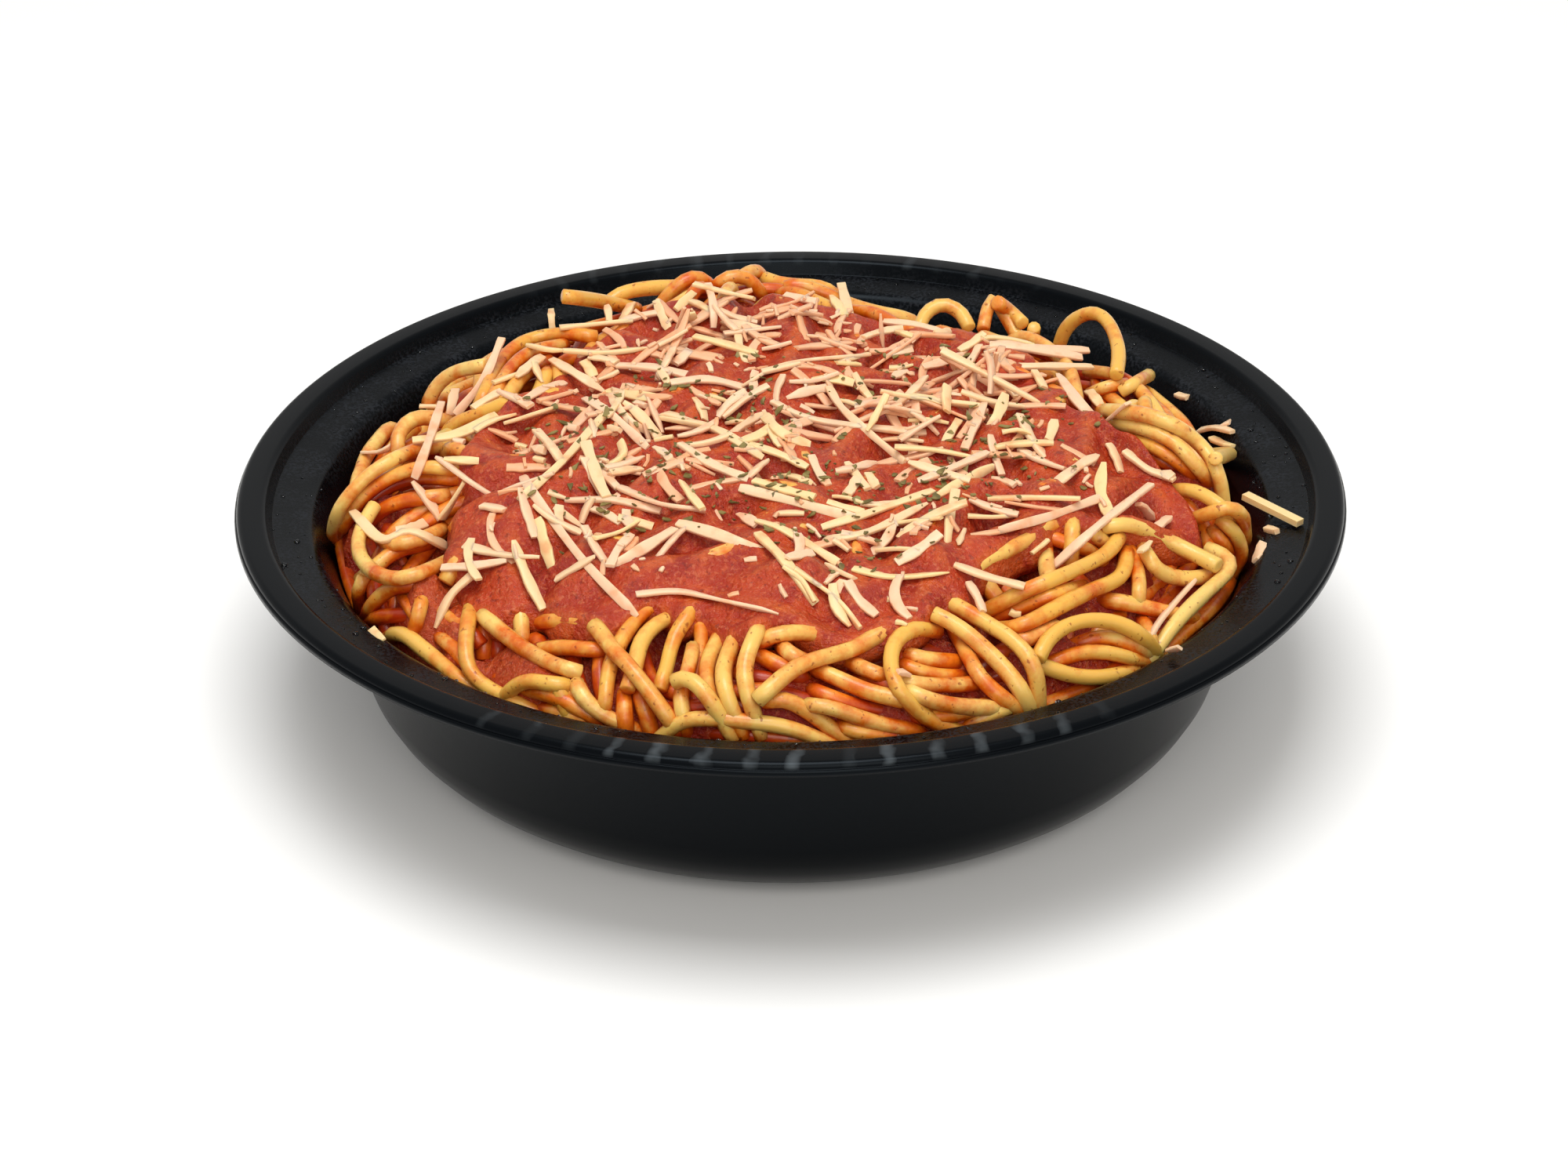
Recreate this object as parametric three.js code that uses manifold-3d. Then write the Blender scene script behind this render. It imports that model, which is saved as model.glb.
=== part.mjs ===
// A bowl of spaghetti marinara, as takeaway pasta is served: a round black plastic bowl with a wide
// rim, a heap of loose spaghetti, a thick pool of tomato sauce over its top, and cheese shreds.
// Millimetres, +Z up, the bowl's foot on z = 0 and its axis on the Z axis. +Y points to the back.
import * as THREE from "three";
import { mergeVertices } from "three/addons/utils/BufferGeometryUtils.js";
import Module from "manifold-3d";

// Driving dimensions of the bowl.
const RIM_RADIUS = 114.5;
const BOWL_HEIGHT = 50;
const WALL = 0.9;
const BOWL_SIDES = 52;

// Driving dimensions of the heap of spaghetti.
const HEAP_REACH = 94; // radius at which the heap meets the wall
const HEAP_EDGE = 40; // height of the heap at that radius
const HEAP_RISE = 22; // how far the middle stands above the edge
const HEAP_POWER = 5; // a flat top with a steep shoulder
const NOODLE_RADIUS = 1.6;
const NOODLE_COUNT = 18;
const NOODLE_STEPS = 11;
const NOODLE_SIDES = 5;
const CORE_DROP = 3.2; // the solid core lies this far under the heap's outside

// Driving dimensions of the sauce and the cheese.
// Distance of the sauce's edge from the bowl's axis, every 15 degrees, starting at +X towards +Y.
const SAUCE_REACH = [
  76, 66, 61, 63, 60, 68, 72, 73, 70, 62, 57, 61, 67, 69, 75, 82, 76, 71, 73, 73, 68, 68, 63, 80,
];
const SAUCE_SWELL = 1.0; // the sauce's top stands this far above the heap's outside
const SHRED_WIDTH = 2.1;
const SHRED_THICKNESS = 1.3;
const SHREDS_ON_SAUCE = 52;
const SHREDS_ON_NOODLES = 7;

const GAP = 0.4; // free space between neighbouring solids
const AZIMUTHS = 42;
const DEGREE = Math.PI / 180;

const wasm = await Module();
wasm.setup();

// Small helpers.

// A repeatable stream of numbers between 0 and 1.
function seededRandom(seed) {
  let state = seed;
  return () => {
    state = (state * 1664525 + 1013904223) % 4294967296;
    return state / 4294967296;
  };
}

function mix(a, b, share) {
  return a + (b - a) * share;
}

// Goes from 0 to 1 as value passes from low to high.
function ramp(value, low, high) {
  return THREE.MathUtils.smoothstep(value, low, high);
}

// A hill of height 1 at (x0, y0) that falls away over `spread`.
function hill(x, y, x0, y0, spread) {
  return Math.exp(-((x - x0) ** 2 + (y - y0) ** 2) / (2 * spread ** 2));
}

// Turns a closed geometry into a solid that can be joined and cut.
function solidOf(geometry) {
  const bare = geometry.clone();
  bare.deleteAttribute("normal");
  bare.deleteAttribute("uv");
  const merged = mergeVertices(bare, 1e-4);
  const solid = new wasm.Manifold(
    new wasm.Mesh({
      numProp: 3,
      vertProperties: merged.attributes.position.array,
      triVerts: new Uint32Array(merged.index.array),
    }),
  );
  if (solid.volume() < 0) throw new Error("a geometry faces inwards");
  return solid;
}

// The largest connected body of a solid, as a geometry with flat faces.
function geometryOf(solid) {
  const body = solid
    .decompose()
    .reduce((best, piece) => (piece.volume() > best.volume() ? piece : best));
  const mesh = body.getMesh();
  const geometry = new THREE.BufferGeometry();
  geometry.setAttribute("position", new THREE.BufferAttribute(mesh.vertProperties, 3));
  geometry.setIndex(new THREE.BufferAttribute(mesh.triVerts, 1));
  const flat = geometry.toNonIndexed();
  flat.computeVertexNormals();
  return flat;
}

// A closed surface through rings of equally many points, from a top pole down to a bottom pole.
// Each four-sided patch is split the same way whether the rings widen or shrink, so that two
// surfaces through the same rings stay parallel.
function shellThroughRings(topPole, rings, bottomPole) {
  const count = rings[0].length;
  const points = [topPole, ...rings.flat(), bottomPole];
  const faces = [];
  const at = (ring, k) => 1 + ring * count + (k % count);
  for (let k = 0; k < count; k++) {
    faces.push(0, at(0, k), at(0, k + 1));
    for (let ring = 0; ring + 1 < rings.length; ring++) {
      const [a, b, c, d] = [at(ring, k), at(ring + 1, k), at(ring + 1, k + 1), at(ring, k + 1)];
      const shrinks = rings[ring + 1][k].length() < rings[ring][k].length();
      if (shrinks) faces.push(a, b, d, b, c, d);
      else faces.push(a, b, c, a, c, d);
    }
    faces.push(points.length - 1, at(rings.length - 1, k + 1), at(rings.length - 1, k));
  }
  const geometry = new THREE.BufferGeometry().setFromPoints(points);
  geometry.setIndex(faces);
  return geometry;
}

// The bowl.

// Rounds the corners of an open line of [radius, height, corner radius].
function roundedLine(corners, arcSteps) {
  const line = [];
  corners.forEach(([x, y, round], i) => {
    const here = new THREE.Vector2(x, y);
    if (!round) {
      line.push(here);
      return;
    }
    const before = new THREE.Vector2(...corners[i - 1].slice(0, 2)).sub(here).normalize();
    const after = new THREE.Vector2(...corners[i + 1].slice(0, 2)).sub(here).normalize();
    const half = Math.acos(THREE.MathUtils.clamp(before.dot(after), -1, 1)) / 2;
    const centre = before.clone().add(after).normalize().multiplyScalar(round / Math.sin(half));
    centre.add(here);
    const start = here.clone().addScaledVector(before, round / Math.tan(half)).sub(centre);
    const end = here.clone().addScaledVector(after, round / Math.tan(half)).sub(centre);
    const sweep = Math.atan2(start.cross(end), start.dot(end));
    const steps = Math.max(1, Math.ceil((arcSteps * Math.abs(sweep)) / (Math.PI / 2)));
    for (let k = 0; k <= steps; k++) {
      const turned = start.clone().rotateAround(new THREE.Vector2(), (sweep * k) / steps);
      line.push(turned.add(centre));
    }
  });
  return line;
}

// Shifts a line sideways by `distance`, to its right if that is positive.
function shiftedLine(line, distance) {
  return line.map((point, i) => {
    const into = point.clone().sub(line[Math.max(i - 1, 0)]);
    const out = line[Math.min(i + 1, line.length - 1)].clone().sub(point);
    if (i === 0) into.copy(out);
    if (i === line.length - 1) out.copy(into);
    into.normalize();
    out.normalize();
    const normal = new THREE.Vector2(into.y + out.y, -into.x - out.x).normalize();
    const stretch = Math.max(0.6, Math.abs(normal.x * into.y - normal.y * into.x));
    return point.clone().addScaledVector(normal, distance / stretch);
  });
}

// The middle of the bowl's wall from the axis outwards: raised floor, foot ring, deep rounded corner,
// leaning wall, shoulder, ledge, step up, flat rim and the skirt that hangs from its edge.
function wallLine() {
  const half = WALL / 2;
  const rimMiddle = BOWL_HEIGHT - half;
  const skirt = RIM_RADIUS - half;
  return roundedLine(
    [
      [0, half + 0.8, 0],
      [59, half + 0.8, 0],
      [60.5, half, 0],
      [87.5, half, 19.3],
      [95.2, 38.5, 6],
      [99.2, 45.4, 2.5],
      [107.2, 46.4, 0],
      [108.6, rimMiddle, 0],
      [skirt - 0.4, rimMiddle, 0.9],
      [skirt - 0.4, rimMiddle - 1.0, 0],
      [skirt, rimMiddle - 1.4, 0],
      [skirt, rimMiddle - 2.1, 0],
    ],
    3,
  );
}

function bowlGeometry() {
  const line = wallLine();
  const outside = shiftedLine(line, WALL / 2);
  const inside = shiftedLine(line, -WALL / 2);
  outside[0].x = 0;
  inside[0].x = 0;
  const section = [...outside, ...inside.reverse()];
  return new THREE.LatheGeometry(section, BOWL_SIDES);
}

// The bowl's inside radius at a height.
function insideRadius(height) {
  const inside = shiftedLine(wallLine(), -WALL / 2);
  for (let i = 1; i < inside.length; i++) {
    const [low, high] = [inside[i - 1], inside[i]];
    if (low.x > HEAP_REACH / 2 && low.y <= height && high.y >= height) {
      return mix(low.x, high.x, (height - low.y) / (high.y - low.y));
    }
  }
  return inside[2].x;
}

// The heap.

// How far from the axis the heap reaches in one direction: it leaves the wall bare at the back right.
function heapReach(azimuth) {
  const turn = (degrees) => {
    const away = azimuth / DEGREE - degrees;
    return away - 360 * Math.round(away / 360);
  };
  const backRight = 9 * Math.exp(-((turn(62) / 24) ** 2));
  const backLeft = 3 * Math.exp(-((turn(148) / 24) ** 2));
  return HEAP_REACH - backRight - backLeft;
}

// Height of the heap's outside, as the tops of the noodles make it.
function heapHeight(x, y) {
  const azimuth = Math.atan2(y, x);
  const share = Math.min(Math.hypot(x, y) / heapReach(azimuth), 1.02);
  const side = 2.5 * Math.cos(azimuth) ** 4 * ramp(share, 0.6, 1);
  const dome = HEAP_EDGE + side + HEAP_RISE * (1 - share ** HEAP_POWER);
  const backCrest = 6.5 * hill(x, y, -14, 75, 15);
  const frontDip = -1.5 * hill(x, y, -60, -55, 14);
  return dome + backCrest + frontDip;
}

function coreHeight(x, y) {
  return heapHeight(x, y) - CORE_DROP;
}

// Distance of the sauce's edge from the axis, smooth between the listed directions.
function sauceReach(azimuth) {
  const count = SAUCE_REACH.length;
  const place = (((azimuth / DEGREE + 360) % 360) / 360) * count;
  const k = Math.floor(place);
  const t = place - k;
  const [a, b, c, d] = [-1, 0, 1, 2].map((step) => SAUCE_REACH[(k + step + count) % count]);
  return 0.5 * (2 * b + (c - a) * t + (2 * a - 5 * b + 4 * c - d) * t ** 2 +
    (3 * b - a - 3 * c + d) * t ** 3);
}

// A ring of points round the axis, from a radius and a height for each direction.
function ringOf(radiusAt, heightAt) {
  return Array.from({ length: AZIMUTHS }, (_, k) => {
    const azimuth = (2 * Math.PI * k) / AZIMUTHS;
    const radius = radiusAt(azimuth);
    const x = radius * Math.cos(azimuth);
    const y = radius * Math.sin(azimuth);
    return new THREE.Vector3(x, y, heightAt(x, y));
  });
}

// The heap's inside: a solid that fills the bowl up to a little under the showing noodles.
function coreGeometry() {
  const underSauce = [0.3, 0.6, 0.85, 1].map((share) =>
    ringOf((azimuth) => share * sauceReach(azimuth), coreHeight),
  );
  const edge = (azimuth) => heapReach(azimuth) - 1.2;
  const outsideSauce = [0.5, 1].map((share) =>
    ringOf((azimuth) => mix(sauceReach(azimuth), edge(azimuth), share), coreHeight),
  );
  const againstWall = [30, 18, 9, 4].map((height) =>
    ringOf((azimuth) => Math.min(insideRadius(height) - GAP, edge(azimuth)), () => height),
  );
  const floor = ringOf(() => 66, () => WALL + 0.8 + GAP);
  const top = new THREE.Vector3(0, 0, coreHeight(0, 0));
  const bottom = new THREE.Vector3(0, 0, WALL + 0.8 + GAP);
  return shellThroughRings(top, [...underSauce, ...outsideSauce, ...againstWall, floor], bottom);
}

const sauceEdge = Array.from({ length: 240 }, (_, k) => {
  const azimuth = (2 * Math.PI * k) / 240;
  const radius = sauceReach(azimuth);
  return new THREE.Vector2(radius * Math.cos(azimuth), radius * Math.sin(azimuth));
});

// Whether a point lies outside the sauce by at least `margin`, and inside the bowl's wall.
function isOnBareNoodles(x, y, margin) {
  const radius = Math.hypot(x, y);
  const azimuth = Math.atan2(y, x);
  if (radius < sauceReach(azimuth) || radius > heapReach(azimuth) - 1) return false;
  return sauceEdge.every((point) => Math.hypot(point.x - x, point.y - y) > margin);
}

// Whether a strip of this length and heading lies wholly on the sauce.
function isOnSauce(x, y, heading, length) {
  return [-0.5, 0, 0.5].every((share) => {
    const endX = x + share * length * Math.cos(heading);
    const endY = y + share * length * Math.sin(heading);
    return Math.hypot(endX, endY) < sauceReach(Math.atan2(endY, endX)) - 3;
  });
}

// A round noodle along points.
function noodleGeometry(points, steps) {
  const section = new THREE.Shape();
  for (let k = 0; k < NOODLE_SIDES; k++) {
    const angle = (2 * Math.PI * k) / NOODLE_SIDES;
    const [x, y] = [NOODLE_RADIUS * Math.cos(angle), NOODLE_RADIUS * Math.sin(angle)];
    if (k) section.lineTo(x, y);
    else section.moveTo(x, y);
  }
  const path = new THREE.CatmullRomCurve3(points);
  return new THREE.ExtrudeGeometry(section, { steps, extrudePath: path, bevelEnabled: false });
}

// A noodle that weaves between the sauce's edge and the wall. Its ends sink into the core, and the
// rest lies just over it, or over its neighbours. It stops where sauce or wall is in its way.
function weavingNoodle(random, start) {
  const span = (34 + 26 * random()) * DEGREE * (random() < 0.5 ? -1 : 1);
  const phase = 2 * Math.PI * random();
  const waves = 0.35 + 0.6 * random();
  const lift = 3 * random() * random();
  const points = [];
  for (let k = 0; k <= NOODLE_STEPS; k++) {
    const t = k / NOODLE_STEPS;
    const azimuth = start + span * t;
    const inner = sauceReach(azimuth) + 2 + NOODLE_RADIUS;
    const outer = heapReach(azimuth) - 1.5;
    const across = 0.5 + 0.5 * Math.sin(phase + 2 * Math.PI * waves * t);
    const radius = mix(Math.min(inner, outer - 1), outer, across);
    const x = radius * Math.cos(azimuth);
    const y = radius * Math.sin(azimuth);
    if (!isOnBareNoodles(x, y, NOODLE_RADIUS + 1.4)) {
      if (points.length) break;
      continue;
    }
    const height = coreHeight(x, y) + NOODLE_RADIUS + 0.4 + lift * Math.sin(Math.PI * t);
    points.push(new THREE.Vector3(x, y, height));
  }
  for (const end of [points[0], points.at(-1)]) if (end) end.z -= NOODLE_RADIUS + 0.8;
  return points;
}

// Loops and ends that stand out of the heap at the back right and the left, as lists of points.
const STANDING_NOODLES = [
  [[27, 61, 51], [29, 64, 57], [34, 67, 59.5], [39.5, 65, 57.5], [42, 60, 51]],
  [[58, 46, 50], [61, 52, 57], [67, 58, 60.5], [73, 54, 57.5], [75, 44, 51], [74, 38, 48]],
  [[78, 10, 47], [83, 12, 48], [88, 13, 48.5], [91, 13, 48.5]],
  [[-71, 30, 50], [-77, 34, 51.5], [-80, 28, 50], [-80, 20, 48]],
  [[-30, 77, 56], [-38, 80, 56.5], [-46, 80, 57]],
];

// A cheese shred: a short flat strip that lies on the heap along `heading`.
function shredGeometry(x, y, heading, length, heightAt) {
  const strip = new THREE.BoxGeometry(length, SHRED_WIDTH, SHRED_THICKNESS);
  const under = (share) =>
    heightAt(x + share * length * Math.cos(heading), y + share * length * Math.sin(heading));
  const slope = (under(0.35) - under(-0.35)) / (0.7 * length);
  const resting = [-0.5, -0.25, 0, 0.25, 0.5].map((share) => under(share) - share * length * slope);
  strip.rotateY(-Math.atan(slope));
  strip.rotateZ(heading);
  strip.translate(x, y, Math.max(...resting) + 0.3 * SHRED_THICKNESS);
  return strip;
}

function spaghettiGeometry() {
  const random = seededRandom(11);
  let heap = solidOf(coreGeometry());
  for (let k = 0; k < NOODLE_COUNT; k++) {
    const start = (2 * Math.PI * (k + 0.5 * random())) / NOODLE_COUNT;
    const points = weavingNoodle(random, start);
    if (points.length > 4) heap = heap.add(solidOf(noodleGeometry(points, points.length)));
  }
  for (const list of STANDING_NOODLES) {
    const points = list.map((place) => new THREE.Vector3(...place));
    heap = heap.add(solidOf(noodleGeometry(points, 2 * list.length)));
  }
  const noodleTops = (x, y) => coreHeight(x, y) + 1.2 * NOODLE_RADIUS;
  for (let placed = 0; placed < SHREDS_ON_NOODLES;) {
    const azimuth = 2 * Math.PI * random();
    const radius = mix(sauceReach(azimuth) + 9, heapReach(azimuth) - 4, random());
    const [x, y] = [radius * Math.cos(azimuth), radius * Math.sin(azimuth)];
    if (!isOnBareNoodles(x, y, 8) || radius > heapReach(azimuth) - 4) continue;
    heap = heap.add(solidOf(shredGeometry(x, y, azimuth + Math.PI / 2, 12, noodleTops)));
    placed += 1;
  }
  return geometryOf(heap);
}

// The sauce and the cheese on it.

function sauceTop(x, y) {
  const ripple = 0.5 * Math.sin(x / 7 + 1.3) * Math.cos(y / 8);
  return heapHeight(x, y) + SAUCE_SWELL + ripple;
}

// A thick sheet with a rounded edge that lies on the core, with a gap all along its underside.
function sauceSheetGeometry() {
  const ring = (share, heightAt) => ringOf((azimuth) => share * sauceReach(azimuth), heightAt);
  const underside = (x, y) => coreHeight(x, y) + GAP;
  const top = [0.3, 0.6, 0.85].map((share) => ring(share, sauceTop));
  const shoulder = ring(0.965, (x, y) => sauceTop(x, y) - 0.8);
  const brim = ring(1, (x, y) => underside(x, y) + 1.4);
  const bottom = [1, 0.85, 0.6, 0.3].map((share) => ring(share, underside));
  return shellThroughRings(
    new THREE.Vector3(0, 0, sauceTop(0, 0)),
    [...top, shoulder, brim, ...bottom],
    new THREE.Vector3(0, 0, underside(0, 0)),
  );
}

function sauceGeometry() {
  const random = seededRandom(5);
  let sauce = solidOf(sauceSheetGeometry());
  const turn = Math.PI * (3 - Math.sqrt(5)); // spreads the shreds evenly
  for (let k = 0; k < SHREDS_ON_SAUCE; k++) {
    const azimuth = k * turn;
    const length = mix(9, 24, random() * random());
    const radius = Math.sqrt((k + 0.5) / SHREDS_ON_SAUCE) * (sauceReach(azimuth) - 0.3 * length - 4);
    const [x, y] = [radius * Math.cos(azimuth), radius * Math.sin(azimuth)];
    const heading = Math.PI * random();
    if (!isOnSauce(x, y, heading, length)) continue;
    sauce = sauce.add(solidOf(shredGeometry(x, y, heading, length, sauceTop)));
  }
  return geometryOf(sauce);
}

// The shred that fell on the bowl's ledge, at the right: from over the noodles out to the step.
const STRAY_SHRED_ENDS = [new THREE.Vector3(93.5, -9, 48.2), new THREE.Vector3(103.4, -20, 47.6)];

function strayShred(material) {
  const [inner, outer] = STRAY_SHRED_ENDS;
  const along = outer.clone().sub(inner);
  const strip = new THREE.BoxGeometry(along.length(), SHRED_WIDTH, SHRED_THICKNESS);
  const mesh = new THREE.Mesh(strip, material);
  mesh.quaternion.setFromUnitVectors(new THREE.Vector3(1, 0, 0), along.normalize());
  mesh.position.addVectors(inner, outer).multiplyScalar(0.5);
  return mesh;
}

// The whole.

function paint(name, color, roughness) {
  return new THREE.MeshStandardMaterial({ name, color, roughness, metalness: 0 });
}

function named(name, mesh) {
  mesh.name = name;
  return mesh;
}

const pasta = new THREE.Group();
const bowlMaterial = paint("black_plastic", "#15171a", 0.35);
const spaghettiMaterial = paint("cooked_pasta", "#e9b76b", 0.4);
const sauceMaterial = paint("tomato_sauce", "#a93526", 0.45);
const cheeseMaterial = paint("cheese", "#f3dcae", 0.6);
pasta.add(named("bowl", new THREE.Mesh(bowlGeometry().rotateX(Math.PI / 2), bowlMaterial)));
pasta.add(named("spaghetti", new THREE.Mesh(spaghettiGeometry(), spaghettiMaterial)));
pasta.add(named("sauce", new THREE.Mesh(sauceGeometry(), sauceMaterial)));
pasta.add(named("stray_cheese_shred", strayShred(cheeseMaterial)));

export default pasta;
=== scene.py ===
# %% [markdown]
# # A bowl of spaghetti marinara
# A takeaway meal: a thin black plastic bowl, a heap of loose spaghetti, a thick pool of tomato sauce,
# a handful of shredded cheese and a pinch of dried herbs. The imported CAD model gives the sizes,
# and this lesson gives the looks. Everything is in metres, but small food is easier to think about in
# millimetres, so most numbers are in millimetres and are turned to metres when a mesh is made.

# %% Load the frame
import math

import bpy
import numpy as np
from mathutils import Matrix


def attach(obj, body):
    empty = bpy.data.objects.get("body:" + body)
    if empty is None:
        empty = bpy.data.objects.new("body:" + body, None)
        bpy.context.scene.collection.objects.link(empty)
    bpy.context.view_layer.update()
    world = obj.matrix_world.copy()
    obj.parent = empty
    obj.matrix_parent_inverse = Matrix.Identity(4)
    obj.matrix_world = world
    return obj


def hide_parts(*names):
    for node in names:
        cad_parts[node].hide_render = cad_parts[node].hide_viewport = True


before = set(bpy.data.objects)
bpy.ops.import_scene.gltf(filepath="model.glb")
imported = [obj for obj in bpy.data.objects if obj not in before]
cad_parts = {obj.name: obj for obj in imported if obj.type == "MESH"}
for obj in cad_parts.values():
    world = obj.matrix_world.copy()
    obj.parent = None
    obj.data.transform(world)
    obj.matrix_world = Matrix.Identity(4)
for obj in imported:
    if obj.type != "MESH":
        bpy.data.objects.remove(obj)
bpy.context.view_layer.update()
MM = 0.001

# %% Small helpers
def deselect_all():
    bpy.ops.object.select_all(action="DESELECT")


def linear(hex_colour):
    """An sRGB hex colour as the linear values that shaders use."""
    channels = [int(hex_colour[i : i + 2], 16) / 255 for i in (1, 3, 5)]
    turned = [c / 12.92 if c <= 0.04045 else ((c + 0.055) / 1.055) ** 2.4 for c in channels]
    return (*turned, 1.0)


def add_object(name, data):
    piece = bpy.data.objects.new(name, data)
    bpy.context.scene.collection.objects.link(piece)
    return piece


def make_object(name, vertices_mm, faces, smooth=True):
    """A mesh object from points in millimetres and faces, standing at the origin."""
    mesh = bpy.data.meshes.new(name)
    mesh.from_pydata((np.asarray(vertices_mm) * MM).tolist(), [], faces)
    mesh.update()
    if smooth:
        mesh.shade_smooth()
    return add_object(name, mesh)


def mesh_points(piece):
    """The points of a piece's mesh, in millimetres."""
    return np.array([v.co[:] for v in piece.data.vertices]) / MM


def set_attribute(piece, name, values):
    """Stores one number for each vertex, which the piece's material reads."""
    layer = piece.data.attributes.new(name, "FLOAT", "POINT")
    layer.data.foreach_set("value", np.asarray(values, np.float32))


def directions(line):
    """Which way a line runs at each of its points, as unit vectors."""
    along = np.gradient(line, axis=0)
    return along / np.linalg.norm(along, axis=1, keepdims=True)


def smoothstep(value, low, high):
    """0 below `low`, 1 above `high`, and a soft slope in between."""
    share = np.clip((np.asarray(value, float) - low) / (high - low), 0, 1)
    return share * share * (3 - 2 * share)


print("white paper's white is", np.round(linear("#F7F7F6")[0], 3), "in linear light")

# %% [markdown]
# ## The camera
# The bowl was photographed with a long lens from a little above. Fitting the rim's, the ledge's and the
# base's ellipses gives one camera, written here as a place, a direction and a roll. Once it stands, any
# pixel of the 2000 by 1500 photograph is a ray into the scene, and that is how the strands and shreds
# that catch the eye find their places further down: each pixel's ray runs on until it meets the food.

# %% Camera
PHOTO_SIZE = (2000, 1500)
FOCAL_PIXELS = 4500.0
CAMERA_DISTANCE = 756.6  # from the bowl's foot along the view, in millimetres
CAMERA_SHIFT = (1.66, -19.59)  # where the middle of the foot lies in the view, right and up
CAMERA_ELEVATION = math.radians(29.24)
CAMERA_ROLL = math.radians(0.57)

level_right = np.array([1.0, 0.0, 0.0])
level_up = np.array([0.0, math.sin(CAMERA_ELEVATION), math.cos(CAMERA_ELEVATION)])
view_direction = np.array([0.0, math.cos(CAMERA_ELEVATION), -math.sin(CAMERA_ELEVATION)])
view_right = math.cos(CAMERA_ROLL) * level_right - math.sin(CAMERA_ROLL) * level_up
view_up = math.sin(CAMERA_ROLL) * level_right + math.cos(CAMERA_ROLL) * level_up
camera_place = -(
    CAMERA_SHIFT[0] * view_right + CAMERA_SHIFT[1] * view_up + CAMERA_DISTANCE * view_direction
)

camera_data = bpy.data.cameras.new("camera")
camera_data.sensor_width = 36.0
camera_data.lens = FOCAL_PIXELS / PHOTO_SIZE[0] * camera_data.sensor_width
camera = add_object("camera", camera_data)


def placed(right, up, back, place):
    """The matrix of a camera or lamp, which both look along their own -Z axis."""
    matrix = np.eye(4)
    matrix[:3] = np.column_stack([right, up, back, place])
    return Matrix(matrix.tolist())


camera.matrix_world = placed(view_right, view_up, -view_direction, camera_place * MM)
bpy.context.scene.camera = camera


def pixel_rays(pixels):
    """Unit directions from the camera through pixels of the photograph."""
    pixels = np.asarray(pixels, float).reshape(-1, 2)
    across = (pixels[:, :1] - PHOTO_SIZE[0] / 2) / FOCAL_PIXELS
    upward = (PHOTO_SIZE[1] / 2 - pixels[:, 1:]) / FOCAL_PIXELS
    rays = across * view_right + upward * view_up + view_direction
    return rays / np.linalg.norm(rays, axis=1, keepdims=True)


def along_rays(depths, rays):
    """The places at some distances from the camera along its rays, in millimetres."""
    return camera_place + depths[:, None] * rays


print("camera at", np.round(camera_place, 1), "mm, lens", camera_data.lens, "mm")

# %% [markdown]
# ## Floor and light
# A product shot on white: a pale floor that runs out of the picture, a bright even sky, and one large
# soft lamp above the bowl and a little in front of it, so that strands and sauce get soft highlights
# and the bowl a soft shadow. A weaker and warmer lamp in front opens up the shadows between the
# strands. The short pale streaks along the rim aren't lamps: they are painted reflections in the
# plastic's material.

# %% Floor, sky and lamps
FLOOR_SIZE = 6.0
FLOOR_MIDDLE = (0, 1.0, 0)
FOOD_MIDDLE = np.array([0, 0, 0.03])  # what the lamps shine at, in metres
deselect_all()
bpy.ops.mesh.primitive_plane_add(size=FLOOR_SIZE, location=FLOOR_MIDDLE)
floor = bpy.context.object
floor.name = "floor"

world = bpy.data.worlds.new("studio")
bpy.context.scene.world = world
world.use_nodes = True
sky = world.node_tree.nodes["Background"].inputs
sky["Color"].default_value = (1.0, 0.99, 0.97, 1)
sky["Strength"].default_value = 0.6
bpy.context.scene.view_settings.view_transform = "Standard"


def add_lamp(name, place, size, watts, colour=(1, 1, 1)):
    """A square area lamp that shines at the food."""
    lamp = bpy.data.lights.new(name, "AREA")
    lamp.shape = "SQUARE"
    lamp.size = size
    lamp.energy = watts
    lamp.color = colour
    away = np.array(place) - FOOD_MIDDLE
    away /= np.linalg.norm(away)
    side = np.cross([0, 0, 1.0], away)
    side /= np.linalg.norm(side)
    add_object(name, lamp).matrix_world = placed(side, np.cross(away, side), away, place)


add_lamp("key_softbox", (-0.05, -0.22, 1.3), 0.7, 11.5)
add_lamp("front_fill", (0.15, -1.2, 0.9), 0.9, 7, (1.0, 0.96, 0.9))

# %% [markdown]
# ## The bowl
# The real bowl is thermoformed polypropylene: one thin skin, so its inside follows its outside. A skin
# like that is drawn as the line of its middle, given its thickness, and spun once round the axis. The
# line below has a corner wherever the real wall bends, each with the radius of its bend.

# %% The wall's line
WALL = 0.9
RIM_RADIUS = 114.5
BOWL_HEIGHT = 50.0
rim_middle = BOWL_HEIGHT - WALL / 2
skirt_middle = RIM_RADIUS - WALL / 2
FOOT_RISE = 0.8  # how far the middle of the base stands off the table, inside its ring
WALL_CORNERS = [  # radius, height and bend radius
    (0, WALL / 2 + FOOT_RISE, 0),
    (59, WALL / 2 + FOOT_RISE, 0.8),
    (60.5, WALL / 2, 0.8),
    (87.5, WALL / 2, 19.3),
    (95.2, 38.5, 6),
    (99.2, 45.4, 2.5),
    (107.2, 46.4, 0.8),
    (108.6, rim_middle, 1.1),
    (skirt_middle - 0.4, rim_middle, 0.9),
    (skirt_middle - 0.4, rim_middle - 1.0, 0.25),
    (skirt_middle, rim_middle - 1.4, 0.25),
    (skirt_middle, rim_middle - 2.1, 0),
]


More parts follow.
